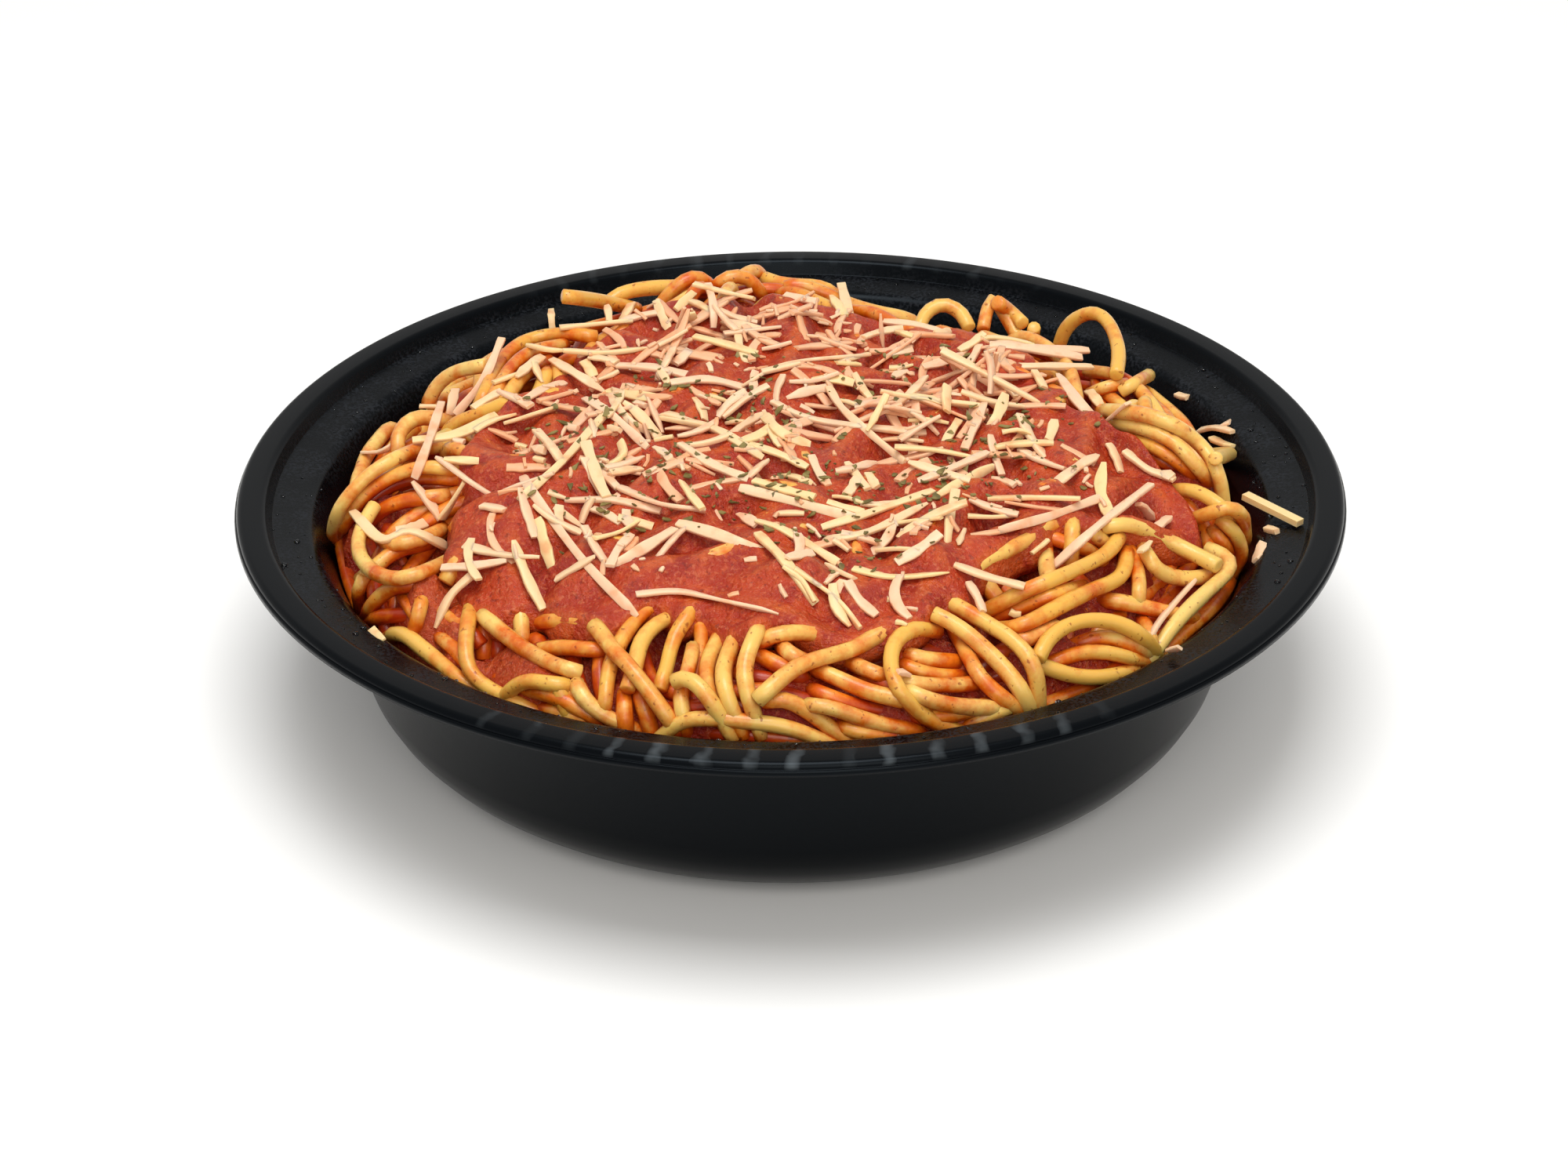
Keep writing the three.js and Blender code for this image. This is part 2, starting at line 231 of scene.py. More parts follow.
def rounded_line(corners, arc_steps):
    """The corners' line with each bend drawn as an arc."""
    line = []
    for i, (x, y, bend) in enumerate(corners):
        here = np.array([x, y], float)
        if not bend:
            line.append(here)
            continue
        before = np.array(corners[i - 1][:2]) - here
        after = np.array(corners[i + 1][:2]) - here
        before /= np.linalg.norm(before)
        after /= np.linalg.norm(after)
        half = math.acos(np.clip(before @ after, -1, 1)) / 2
        bisector = (before + after) / np.linalg.norm(before + after)
        centre = here + bisector * bend / math.sin(half)
        start = here + before * bend / math.tan(half) - centre
        end = here + after * bend / math.tan(half) - centre
        sweep = math.atan2(start[0] * end[1] - start[1] * end[0], start @ end)
        steps = max(2, math.ceil(arc_steps * abs(sweep) / (math.pi / 2)))
        for k in range(steps + 1):
            c, s = math.cos(sweep * k / steps), math.sin(sweep * k / steps)
            line.append(centre + np.array([c * start[0] - s * start[1], s * start[0] + c * start[1]]))
    return np.array(line)


wall_line = rounded_line(WALL_CORNERS, 8)
print("the wall's line has", len(wall_line), "points")

# %% Turn the line round the axis
BOWL_STEPS = 180


def shifted_line(line, distance):
    """The line moved sideways, to its right if the distance is positive."""
    along = directions(line)
    return line + distance * np.column_stack([along[:, 1], -along[:, 0]])


def bowl_section():
    """The closed outline of the cut wall, from the axis out underneath and back on top."""
    outside = shifted_line(wall_line, WALL / 2)
    inside = shifted_line(wall_line, -WALL / 2)
    outside[0, 0] = inside[0, 0] = 0
    return np.vstack([outside, inside[::-1]])


def spin_section(name, section):
    """A circle primitive is bent into the section and spun round the Z axis in edit mode."""
    deselect_all()
    bpy.ops.mesh.primitive_circle_add(vertices=len(section), radius=0.01, location=(0, 0, 0))
    piece = bpy.context.object
    piece.name = piece.data.name = name
    for vertex, (radius, height) in zip(piece.data.vertices, section):
        vertex.co = (radius * MM, 0, height * MM)
    bpy.ops.object.mode_set(mode="EDIT")
    bpy.ops.mesh.select_all(action="SELECT")
    bpy.ops.mesh.spin(steps=BOWL_STEPS, angle=2 * math.pi, center=(0, 0, 0), axis=(0, 0, 1))
    bpy.ops.mesh.select_all(action="SELECT")
    bpy.ops.mesh.remove_doubles(threshold=1e-6)
    bpy.ops.mesh.delete_loose()
    bpy.ops.mesh.select_all(action="SELECT")
    bpy.ops.mesh.normals_make_consistent(inside=False)
    bpy.ops.object.mode_set(mode="OBJECT")
    bpy.ops.object.shade_smooth()
    return piece


wall_inside = shifted_line(wall_line, -WALL / 2)
wall_inside = wall_inside[: wall_inside[:, 1].argmax()]
bowl = spin_section("bowl_shell", bowl_section())
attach(bowl, "root")
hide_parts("bowl")
print("bowl shell:", len(bowl.data.polygons), "faces")

# %% [markdown]
# ## The heap's shape
# Every strand, the sauce and the cheese lie on one gently domed heap. It is flat on top and falls
# steeply to the wall, with a crest at the back and a bare stretch of wall at the back right. One
# function gives the height of its outside anywhere, with the same numbers as the CAD model.

# %% Heap height
HEAP_REACH = 94.0
HEAP_EDGE = 40.0
HEAP_RISE = 22.0
HEAP_POWER = 5
HOLLOWS = [(9, 62), (3, 148)]  # how far the heap draws back from the wall, and at which azimuth
HOLLOW_SPREAD = 24  # degrees
SIDE_RISE = 2.5  # how much higher its edge is at the left and the right
MOUNDS = [(6.5, -14, 75, 15), (-1.5, -60, -55, 14)]  # height, x, y and spread of each


def turn_from(azimuth, degrees):
    """How far an azimuth lies from a direction, in degrees, from -180 to 180."""
    away = np.degrees(azimuth) - degrees
    return away - 360 * np.round(away / 360)


def heap_reach(azimuth):
    """How far out the heap goes in a direction."""
    reach = HEAP_REACH
    for depth, degrees in HOLLOWS:
        reach = reach - depth * np.exp(-((turn_from(azimuth, degrees) / HOLLOW_SPREAD) ** 2))
    return reach


def hill(x, y, x0, y0, spread):
    """A bell-shaped hill of height 1."""
    return np.exp(-((x - x0) ** 2 + (y - y0) ** 2) / (2 * spread**2))


def heap_height(x, y):
    azimuth = np.arctan2(y, x)
    share = np.minimum(np.hypot(x, y) / heap_reach(azimuth), 1.02)
    side = SIDE_RISE * np.cos(azimuth) ** 4 * smoothstep(share, 0.6, 1)
    top = HEAP_EDGE + side + HEAP_RISE * (1 - share**HEAP_POWER)
    for height, x0, y0, spread in MOUNDS:
        top = top + height * hill(x, y, x0, y0, spread)
    return top


print("heap height in the middle", round(float(heap_height(0.0, 0.0)), 1), "mm")

# %% [markdown]
# ## A map of what lies highest
# Loose food is laid the way it falls: one piece after the other, each on top of what is already there.
# A map of heights over the bowl makes that quick. To lay a round strand, the map is first widened by
# the strand's own roundness, which gives the height at which its middle can lie. After it has been
# laid, its back is stamped into the map, and the next strand lies on it.

# %% Height map
CELL = 0.7  # millimetres
MAP_HALF = 116.0
MAP_COUNT = int(2 * MAP_HALF / CELL) + 1
map_axis = np.linspace(-MAP_HALF, MAP_HALF, MAP_COUNT)
map_x, map_y = np.meshgrid(map_axis, map_axis, indexing="ij")
NOODLE_RADIUS = 1.6
STAMP_STEP = 0.6  # how close together a strand's stamps are, in millimetres


def disc_cells(radius):
    """Cell steps that lie within a radius, and the height of a ball's surface above its middle."""
    reach = int(radius / CELL) + 1
    steps = [(i, j) for i in range(-reach, reach + 1) for j in range(-reach, reach + 1)]
    steps = [(i, j) for i, j in steps if math.hypot(i, j) * CELL < radius]
    return [(i, j, math.sqrt(radius**2 - (i * i + j * j) * CELL**2)) for i, j in steps]


def shifted_map(heights, i, j):
    return np.roll(np.roll(heights, -i, axis=0), -j, axis=1)


def widened(heights, radius):
    """The lowest heights at which a ball's middle can lie on the map."""
    return np.max([shifted_map(heights, i, j) + h for i, j, h in disc_cells(radius)], axis=0)


def cell_of(value):
    """The number of the cell that a coordinate falls in."""
    return np.clip(np.rint((np.asarray(value) + MAP_HALF) / CELL).astype(int), 0, MAP_COUNT - 1)


def stepped(cells, step):
    """Cell numbers moved by a step, and kept on the map."""
    return np.clip(cells + step, 0, MAP_COUNT - 1)


def look_up(heights, x, y):
    """Heights between the map's cells, by linear blending."""
    u = np.clip((np.asarray(x) + MAP_HALF) / CELL, 0, MAP_COUNT - 1.001)
    v = np.clip((np.asarray(y) + MAP_HALF) / CELL, 0, MAP_COUNT - 1.001)
    i, j = u.astype(int), v.astype(int)
    a, b = u - i, v - j
    low = heights[i, j] * (1 - a) * (1 - b) + heights[i + 1, j] * a * (1 - b)
    return low + heights[i, j + 1] * (1 - a) * b + heights[i + 1, j + 1] * a * b


def stamp(heights, points, radius):
    """Raises the map to the back of a round strand."""
    fine = resampled(points, STAMP_STEP)
    i, j = cell_of(fine[:, 0]), cell_of(fine[:, 1])
    for di, dj, h in disc_cells(radius):
        np.maximum.at(heights, (stepped(i, di), stepped(j, dj)), fine[:, 2] + h)


def blurred(values, sigma_mm):
    """The map blurred by a bell curve."""
    sigma = sigma_mm / CELL
    reach = int(3 * sigma) + 1
    bell = np.exp(-0.5 * (np.arange(-reach, reach + 1) / sigma) ** 2)
    bell /= bell.sum()
    for axis in (0, 1):
        padded = np.pad(values, [(reach, reach) if k == axis else (0, 0) for k in (0, 1)], "edge")
        values = np.apply_along_axis(np.convolve, axis, padded, bell, "valid")
    return values


print("height map", MAP_COUNT, "by", MAP_COUNT, "cells of", CELL, "mm")

# %% Curves through points
def resampled(points, step):
    """The same line with points an even step apart."""
    points = np.asarray(points, float)
    lengths = np.r_[0, np.cumsum(np.linalg.norm(np.diff(points, axis=0), axis=1))]
    count = max(3, int(round(lengths[-1] / step)) + 1)
    places = np.linspace(0, lengths[-1], count)
    return np.column_stack([np.interp(places, lengths, points[:, k]) for k in range(points.shape[1])])


def curved(points, per_piece=8):
    """A smooth line through given points: a Catmull-Rom curve."""
    points = np.asarray(points, float)
    ends = np.vstack([2 * points[0] - points[1], points, 2 * points[-1] - points[-2]])
    t = np.linspace(0, 1, per_piece, endpoint=False)[:, None]
    line = []
    for a, b, c, d in zip(ends[:-3], ends[1:-2], ends[2:-1], ends[3:]):
        line.append(
            0.5 * (2 * b + (c - a) * t + (2 * a - 5 * b + 4 * c - d) * t**2)
            + 0.5 * (3 * b - a - 3 * c + d) * t**3
        )
    return np.vstack([*line, points[-1:]])


def eased(values, rounds):
    """Each value moved to the middle of its neighbours, a few times."""
    for _ in range(rounds):
        padded = np.r_[2 * values[0] - values[1], values, 2 * values[-1] - values[-2]]
        values = 0.25 * padded[:-2] + 0.5 * padded[1:-1] + 0.25 * padded[2:]
    return values


def eased_against(values, limit, times, rounds):
    """Values eased several times, and held by np.minimum or np.maximum to what they were."""
    line = values
    for _ in range(times):
        line = limit(values, eased(line, rounds))
    return line


print("a corner eased once:", eased(np.array([0.0, 0.0, 1.0, 0.0, 0.0]), 1))

# %% [markdown]
# ## Loose strands
# Most of the heap is strands that nobody looks at one by one. Each is a walk with a slowly changing
# bend, steered along the wall where it comes near it, and most have a neighbour or two beside them,
# as strands that slid off the same fork do. A new strand starts where the heap is still too low, so
# the pile fills up evenly to its outside.

# %% Lay loose strands
rng = np.random.default_rng(4)
FILL_DEPTH = 11.0  # how thick the layer of real strands is
MOST_OVER = 1.8  # how far a strand may lie over the target, on average
WORST_OVER = 4.5  # and at its highest place
SIDE_BY_SIDE = 3.35  # from the middle of a strand to the middle of its neighbour
FEWEST_POINTS = 7  # a strand with fewer isn't laid
DIVE = 2.6  # how deep a stained end dives between its neighbours, in millimetres
DIVE_FADE = 0.8  # over how many points of the strand it does
FIRST_BEND = 0.03  # radians in each millimetre
BEND_CHANGE = 0.012
BEND_KEPT = 0.94  # how much of its bend a wandering strand keeps from step to step
STEERED = (16, 3)  # how far from the heap's outside the wall starts to steer it, and steers it fully
WALL_GAP = 1.9  # how close to the heap's outside its middle may come
NEIGHBOUR_GAP = 1.6  # the same for the strands beside it
START_GAP = 2.5  # and for where a strand starts
TIRED_CELLS = 3  # how many cells round an attempt's start grow tired of starts
TIRED_DEPTH = 1.5  # and as how much higher they then count
heap_map = heap_height(map_x, map_y)
pile = heap_map - FILL_DEPTH
azimuth_map = np.arctan2(map_y, map_x)
radius_map = np.hypot(map_x, map_y)
nothing = np.zeros_like(pile, bool)
strands = []  # each: points in millimetres, and how much sauce stains it, from 0 to 1


def wander(x, y, length, step=2.5):
    """A flat path that bends slowly and turns along the wall before it meets it."""
    heading = np.arctan2(y, x) + np.pi / 2 * rng.choice([-1, 1]) + rng.normal(0, 0.7)
    bend = rng.normal(0, FIRST_BEND)
    path = [(x, y)]
    for _ in range(int(length / step)):
        bend = BEND_KEPT * bend + rng.normal(0, BEND_CHANGE)
        azimuth = np.arctan2(y, x)
        near_wall = smoothstep(np.hypot(x, y), *(heap_reach(azimuth) - far for far in STEERED))
        outward = np.cos(heading - azimuth)
        along_wall = azimuth + np.pi / 2 * np.sign(np.sin(heading - azimuth))
        turn = (along_wall - heading + np.pi) % (2 * np.pi) - np.pi
        heading += bend * step + near_wall * (0.5 * turn * (outward > -0.2) - 0.08 * np.sign(-turn))
        x, y = x + step * np.cos(heading), y + step * np.sin(heading)
        azimuth, radius = np.arctan2(y, x), np.hypot(x, y)
        limit = heap_reach(azimuth) - WALL_GAP
        if radius > limit:
            x, y = x * limit / radius, y * limit / radius
        path.append((x, y))
    return np.array(path)


def laid_down(path):
    """Heights along a flat path: on top of what is there, and bridging small dips."""
    i, j = cell_of(path[:, 0]), cell_of(path[:, 1])
    under = [pile[stepped(i, di), stepped(j, dj)] + h for di, dj, h in disc_cells(NOODLE_RADIUS)]
    return eased(eased_against(np.max(under, axis=0), np.maximum, 10, 4), 1)


def end_share(count):
    """Nearly 1 at both ends of a strand and 0 along the rest, where its ends dive into the heap."""
    from_end = np.minimum(np.arange(count), np.arange(count)[::-1])
    return np.exp(-from_end / DIVE_FADE)


def kept_inside(points):
    """The same points, moved in where they would cross the bowl's wall."""
    radius = np.hypot(points[:, 0], points[:, 1])
    limit = np.interp(points[:, 2] - NOODLE_RADIUS, wall_inside[:, 1], wall_inside[:, 0])
    inward = np.minimum(1, (limit - NOODLE_RADIUS) / np.maximum(radius, 1))
    return np.column_stack([points[:, :2] * inward[:, None], points[:, 2]])


def beside(path, distance):
    """The path moved sideways, with a little life of its own."""
    sway = distance + 0.8 * np.sin(np.linspace(0, rng.uniform(2, 7), len(path)) + rng.uniform(0, 6))
    return shifted_line(path, sway[:, None])


def fill_heap(target, attempts, covered=nothing, lengths=(45, 150), picks_each=60):
    """Lays strands where the pile is lowest under the target, until the attempts run out."""
    laid = 0
    room = widened(target, NOODLE_RADIUS) - 2 * NOODLE_RADIUS
    tired = np.zeros_like(pile)  # grows where an attempt has begun, so the next begins elsewhere
    closed = covered | (radius_map >= heap_reach(azimuth_map) - START_GAP)
    for _ in range(attempts):
        lack = np.where(closed, -9, target - pile - tired)
        picks = rng.integers(0, lack.size, picks_each)
        start = picks[np.argmax(lack.flat[picks])]
        rows, columns = (
            slice(max(middle - TIRED_CELLS, 0), middle + TIRED_CELLS + 1)
            for middle in divmod(int(start), MAP_COUNT)
        )
        tired[rows, columns] += TIRED_DEPTH
        path = wander(map_x.flat[start], map_y.flat[start], rng.uniform(*lengths))
        for k in range(rng.integers(1, 4)):
            neighbour = beside(path, SIDE_BY_SIDE * k) if k else path
            outside = heap_reach(np.arctan2(neighbour[:, 1], neighbour[:, 0])) - NEIGHBOUR_GAP
            free = np.hypot(neighbour[:, 0], neighbour[:, 1]) < outside
            free &= ~covered[cell_of(neighbour[:, 0]), cell_of(neighbour[:, 1])]
            neighbour = neighbour if free.all() else neighbour[: free.argmin()]
            if len(neighbour) < FEWEST_POINTS:
                continue
            heights = laid_down(neighbour)
            heights = heights - DIVE * end_share(len(heights))
            over = heights - look_up(room, neighbour[:, 0], neighbour[:, 1])
            if over.mean() > MOST_OVER or over.max() > WORST_OVER:
                continue
            points = kept_inside(np.column_stack([neighbour, heights]))
            stamp(pile, points, NOODLE_RADIUS)
            strands.append((points, rng.beta(1.6, 1.8)))
            laid += 1
    return laid


count = fill_heap(heap_map - 2.4, 900)
print("loose strands laid below:", count)

# %% [markdown]
# ## The strands that catch the eye
# The strands at the front, the sides and the back edge give this bowl its face, so they follow the
# photograph. Each is a few pixels along its middle, from the deepest strand to the topmost, and how
# much sauce stains it. The pixels' rays are followed down to the pile, so a strand lies where it is
# seen and rests on what is under it from any side.

# %% Pixels of the strands
# Each: stain at the start, stain at the end, then pixels along the strand.
LEFT_STRANDS = [
    (0.5, 0.4, (446, 648), (430, 668), (424, 700), (427, 730), (436, 757), (449, 783)),
    (0.45, 0.4, (458, 640), (442, 665), (436, 690), (436, 716), (441, 742), (449, 765)),
    (0.7, 0.8, (468, 792), (490, 786), (515, 785), (545, 783)),
    (0.5, 0.6, (510, 748), (518, 765), (530, 784)),
    (0.5, 0.6, (534, 745), (538, 765), (533, 786)),
    (0.4, 0.5, (478, 724), (496, 709), (518, 698), (548, 692)),
    (0.5, 0.6, (464, 736), (457, 756), (451, 778)),
    (0.5, 0.7, (459, 792), (470, 778), (484, 762), (500, 750), (524, 745), (552, 738)),
    (0.5, 0.8, (486, 688), (500, 694), (520, 692), (542, 686), (566, 674)),
    (0.6, 0.8, (455, 662), (475, 636), (505, 617), (540, 610), (585, 612)),
    (0.7, 0.9, (470, 668), (490, 649), (520, 638), (570, 632)),
    (0.4, 0.6, (440, 668), (455, 642), (480, 620), (512, 603), (545, 596), (585, 600)),
    (0.35, 0.5, (424, 692), (431, 655), (450, 626), (478, 600), (510, 582), (545, 571), (585, 567)),
    (0.1, 0.75, (478, 645), (466, 664), (458, 684), (457, 702), (464, 717), (479, 731), (502, 738),
     (524, 735), (546, 727), (578, 713)),
]
FRONT_LEFT_STRANDS = [
    (0.8, 0.8, (560, 812), (578, 826), (598, 848)),
    (0.8, 0.8, (640, 842), (664, 852), (700, 862), (738, 888)),
    (0.8, 0.8, (626, 862), (668, 878), (712, 890), (752, 912)),
    (0.6, 0.6, (686, 830), (715, 826), (745, 828), (780, 830)),
    (0.6, 0.4, (712, 872), (718, 892), (730, 925)),
    (0.5, 0.3, (690, 903), (712, 908), (745, 918)),
    (0.4, 0.4, (735, 872), (748, 895), (775, 915), (810, 930)),
    (0.45, 0.15, (602, 770), (597, 795), (594, 820), (595, 842), (602, 859), (615, 872), (632, 883),
     (650, 892), (668, 902)),
    (0.15, 0.3, (640, 893), (656, 876), (674, 869), (700, 872)),
    (0.15, 0.1, (492, 814), (503, 808), (519, 811), (539, 827), (561, 845), (582, 863), (602, 880),
     (628, 900)),
    (0.45, 0.6, (616, 786), (640, 806), (662, 823), (684, 836), (706, 847), (740, 858)),
    (0.7, 0.7, (676, 796), (700, 793), (725, 792), (765, 797)),
]
FRONT_STRANDS = [
    (0.8, 0.8, (870, 905), (925, 899), (985, 906), (1035, 924)),
    (0.8, 0.8, (905, 934), (960, 938), (1020, 944)),
    (0.8, 0.7, (935, 860), (985, 868), (1035, 884)),
    (0.8, 0.7, (925, 885), (975, 880), (1020, 890), (1060, 905)),
    (0.6, 0.6, (962, 832), (980, 842), (1000, 852), (1028, 868)),
    (0.5, 0.5, (995, 822), (1010, 836), (1034, 848)),
    (0.4, 0.4, (965, 822), (985, 811), (1010, 807), (1040, 809), (1062, 812)),
    (0.6, 0.6, (800, 868), (796, 890), (798, 930)),
    (0.6, 0.5, (815, 860), (818, 890), (830, 930)),
    (0.5, 0.45, (850, 766), (828, 776), (812, 790), (799, 807), (786, 830), (776, 860), (772, 895)),
    (0.5, 0.5, (884, 826), (880, 845), (874, 868), (868, 890), (873, 920)),
    (0.35, 0.2, (862, 786), (843, 793), (825, 808), (815, 826), (810, 850), (800, 880)),
    (0.45, 0.25, (886, 768), (876, 789), (863, 808), (855, 830), (850, 852), (841, 880)),
    (0.4, 0.2, (922, 806), (909, 830), (902, 850), (901, 868), (908, 895)),
    (0.4, 0.1, (940, 808), (929, 834), (923, 855), (924, 875), (930, 895), (940, 918)),
    (0.4, 0.15, (968, 800), (957, 825), (950, 848), (950, 868), (955, 890), (964, 918)),
    (0.45, 0.3, (975, 894), (1000, 893), (1022, 902), (1044, 917), (1064, 932), (1082, 944)),
    (0.1, 0.05, (860, 870), (874, 865), (888, 872), (902, 888), (913, 904), (924, 922)),
    (0.2, 0.6, (758, 798), (770, 812), (782, 829), (800, 847), (817, 868), (836, 893), (854, 918)),
    (0.4, 0.05, (846, 938), (864, 923), (885, 917), (915, 917), (950, 920), (985, 924), (1015, 931),
     (1048, 944)),
]
FRONT_RIGHT_STRANDS = [
    (0.8, 0.7, (1035, 880), (1085, 898), (1135, 908), (1180, 910)),
    (0.7, 0.7, (1160, 912), (1205, 914), (1262, 898)),
    (0.8, 0.8, (1085, 866), (1125, 872), (1165, 894)),
    (0.4, 0.4, (1030, 899), (1060, 903), (1092, 914), (1120, 923), (1155, 930)),
    (0.45, 0.4, (1070, 926), (1100, 935), (1135, 938), (1170, 936)),
    (0.6, 0.6, (1155, 835), (1185, 842), (1230, 845)),
    (0.45, 0.45, (1150, 848), (1175, 857), (1200, 862), (1232, 863)),
    (0.45, 0.5, (1076, 841), (1100, 852), (1128, 863)),
    (0.4, 0.4, (1146, 868), (1180, 873), (1215, 874), (1256, 870)),
    (0.5, 0.5, (1156, 880), (1185, 892), (1218, 900), (1256, 903)),
    (0.5, 0.4, (1250, 918), (1275, 907), (1304, 896)),
    (0.45, 0.3, (1040, 853), (1068, 865), (1090, 875), (1114, 884), (1144, 891)),
    (0.2, 0.6, (966, 893), (988, 873), (1010, 855), (1035, 843), (1060, 836), (1088, 828),
     (1108, 817), (1128, 806), (1155, 799)),
    (0.5, 0.5, (1215, 800), (1226, 820), (1237, 841), (1249, 862), (1264, 878), (1287, 897)),
    (0.2, 0.12, (1196, 806), (1170, 802), (1150, 810), (1139, 826), (1136, 847), (1141, 868),
     (1152, 888), (1170, 906), (1190, 920), (1218, 932)),
    (0.3, 0.15, (1205, 765), (1235, 781), (1262, 797), (1286, 812), (1305, 829), (1318, 850),
     (1323, 872), (1324, 902)),
    (0.25, 0.15, (1191, 783), (1208, 791), (1230, 805), (1250, 822), (1270, 841), (1288, 861),
     (1302, 880), (1312, 902)),
]
RIGHT_STRANDS = [
    (0.6, 0.6, (1455, 790), (1465, 805), (1470, 824)),
    (0.5, 0.5, (1405, 765), (1440, 770), (1470, 777), (1505, 785)),
    (0.45, 0.5, (1368, 824), (1395, 815), (1425, 815), (1450, 826)),
    (0.4, 0.4, (1350, 842), (1378, 833), (1408, 832), (1436, 838), (1460, 846)),
    (0.15, 0.1, (1300, 818), (1322, 811), (1348, 800)),
    (0.6, 0.5, (1366, 658), (1388, 674), (1408, 692)),
    (0.55, 0.5, (1428, 678), (1440, 700), (1449, 722), (1453, 745), (1452, 768)),
    (0.35, 0.3, (1458, 700), (1476, 726), (1500, 737), (1528, 737), (1558, 728)),
    (0.5, 0.5, (1258, 790), (1290, 780), (1320, 768), (1350, 757), (1380, 748)),
    (0.5, 0.35, (1268, 803), (1295, 800), (1318, 791), (1345, 777), (1372, 763), (1400, 750),
     (1422, 741), (1434, 728), (1437, 705)),
    (0.55, 0.35, (1252, 782), (1275, 770), (1300, 757), (1330, 744), (1362, 731), (1392, 717),
     (1414, 704), (1427, 686)),
    (0.5, 0.45, (1545, 676), (1560, 692), (1568, 708)),
    (0.4, 0.4, (1592, 660), (1603, 678), (1602, 702)),
    (0.45, 0.45, (1488, 828), (1518, 801), (1546, 776), (1572, 752), (1591, 734), (1600, 716),
     (1597, 696)),
    (0.2, 0.15, (1476, 828), (1494, 802), (1515, 778), (1538, 756), (1558, 738), (1571, 722),
     (1562, 709), (1540, 700)),
    (0.15, 0.15, (1555, 662), (1572, 676), (1582, 693), (1584, 714)),
    (0.35, 0.35, (1498, 625), (1522, 626), (1545, 637), (1564, 652)),
    (0.7, 0.5, (1518, 664), (1545, 654), (1568, 648), (1584, 656), (1586, 674)),
    (0.1, 0.1, (1314, 844), (1340, 853), (1365, 861), (1392, 864), (1420, 862), (1448, 854)),
    (0.1, 0.05, (1324, 840), (1335, 819), (1352, 803), (1376, 793), (1402, 791), (1428, 796),
     (1450, 807), (1468, 823), (1482, 844)),
    (0.3, 0.1, (1408, 673), (1432, 669), (1455, 674), (1480, 685), (1504, 697), (1532, 711)),
]
BACK_STRANDS = [
    (0.5, 0.6, (612, 518), (625, 487), (640, 460), (662, 440), (692, 429), (725, 426), (760, 430)),
    (0.6, 0.7, (622, 522), (637, 492), (655, 465), (680, 448), (720, 440)),
    (0.5, 0.7, (630, 532), (650, 502), (668, 478), (700, 462)),
    (0.3, 0.5, (546, 514), (556, 494), (572, 479), (592, 471), (620, 466)),
    (0.4, 0.6, (508, 580), (508, 556), (520, 539), (540, 532), (570, 538)),
    (0.2, 0.3, (774, 390), (785, 378), (805, 371), (835, 367), (870, 366), (905, 362)),
    (0.2, 0.3, (718, 378), (745, 381), (775, 386), (812, 394)),
    (0.75, 0.8, (912, 368), (925, 356), (940, 352), (957, 357), (972, 376)),
    (0.6, 0.7, (1338, 498), (1360, 507), (1378, 522)),
    (0.6, 0.6, (1388, 474), (1420, 478), (1448, 493), (1468, 515), (1482, 538)),
    (0.6, 0.6, (1390, 503), (1412, 493), (1436, 490)),
    (0.4, 0.4, (1465, 479), (1450, 487), (1430, 500)),
    (0.6, 0.5, (1465, 580), (1500, 597), (1528, 614)),
    (0.6, 0.5, (1422, 555), (1465, 567), (1500, 588), (1530, 612)),
    (0.5, 0.35, (1410, 538), (1458, 546), (1496, 564), (1523, 591), (1547, 620)),
    (0.4, 0.3, (1410, 524), (1450, 527), (1488, 538), (1518, 556), (1543, 582), (1556, 612),
     (1560, 640)),
]
# Ends and loops that stand free of the heap: they start and end on it, and rise in between.
STANDING_STRANDS = [
    (0.3, 0.3, (1172, 420), (1180, 401), (1195, 390), (1210, 390), (1226, 400), (1236, 418)),
    (0.6, 0.7, (1254, 420), (1259, 396), (1267, 382), (1277, 394), (1289, 414), (1302, 436)),
    (0.9, 0.7, (1272, 386), (1288, 397), (1304, 412)),
    (0.5, 0.5, (1319, 418), (1316, 436)),
    (0.3, 0.25, (1350, 444), (1358, 422), (1373, 406), (1393, 399), (1410, 407), (1422, 428),
     (1427, 452), (1424, 478)),
    (0.3, 0.3, (1598, 567), (1578, 576), (1550, 585)),
]
LYING_STRANDS = [*BACK_STRANDS, *LEFT_STRANDS, *RIGHT_STRANDS, *FRONT_LEFT_STRANDS, *FRONT_STRANDS,
                 *FRONT_RIGHT_STRANDS]
print("strands read from the photograph:", len(LYING_STRANDS) + len(STANDING_STRANDS))

# %% Lay a strand by its pixels
RAY_TOP = 76.0  # height at which the search along a ray starts
LEDGE_HEIGHT = 45.0
NEAR_WALL = 85.0  # radius from which a strand's end counts as close to the wall
RUN_ON = 24.0  # pixels
BARE_STAIN = 0.3  # below this stain an end shows, and above it the end is deeper in the heap
RAY_STEPS = np.arange(0, 105, 0.35)  # how far down a ray each place is, in millimetres
PALER_RIGHT = 0.2  # how much less sauce has reached the strands on the right


def ray_depths(pixels, support, limit=HEAP_REACH):
    """How far along each pixel's ray the support is first met, or else passed most closely."""
    rays = pixel_rays(pixels)
    first = (RAY_TOP - camera_place[2]) / rays[:, 2]
    depths = first[:, None] + RAY_STEPS[None, :]
    places = camera_place + depths[..., None] * rays[:, None, :]
    above = places[..., 2] - look_up(support, places[..., 0], places[..., 1])
    above += 99.0 * (np.hypot(places[..., 0], places[..., 1]) > limit)
    met = above <= 0
    found = np.where(met.any(axis=1), met.argmax(axis=1), above.argmin(axis=1))
    return depths[np.arange(len(rays)), found], rays


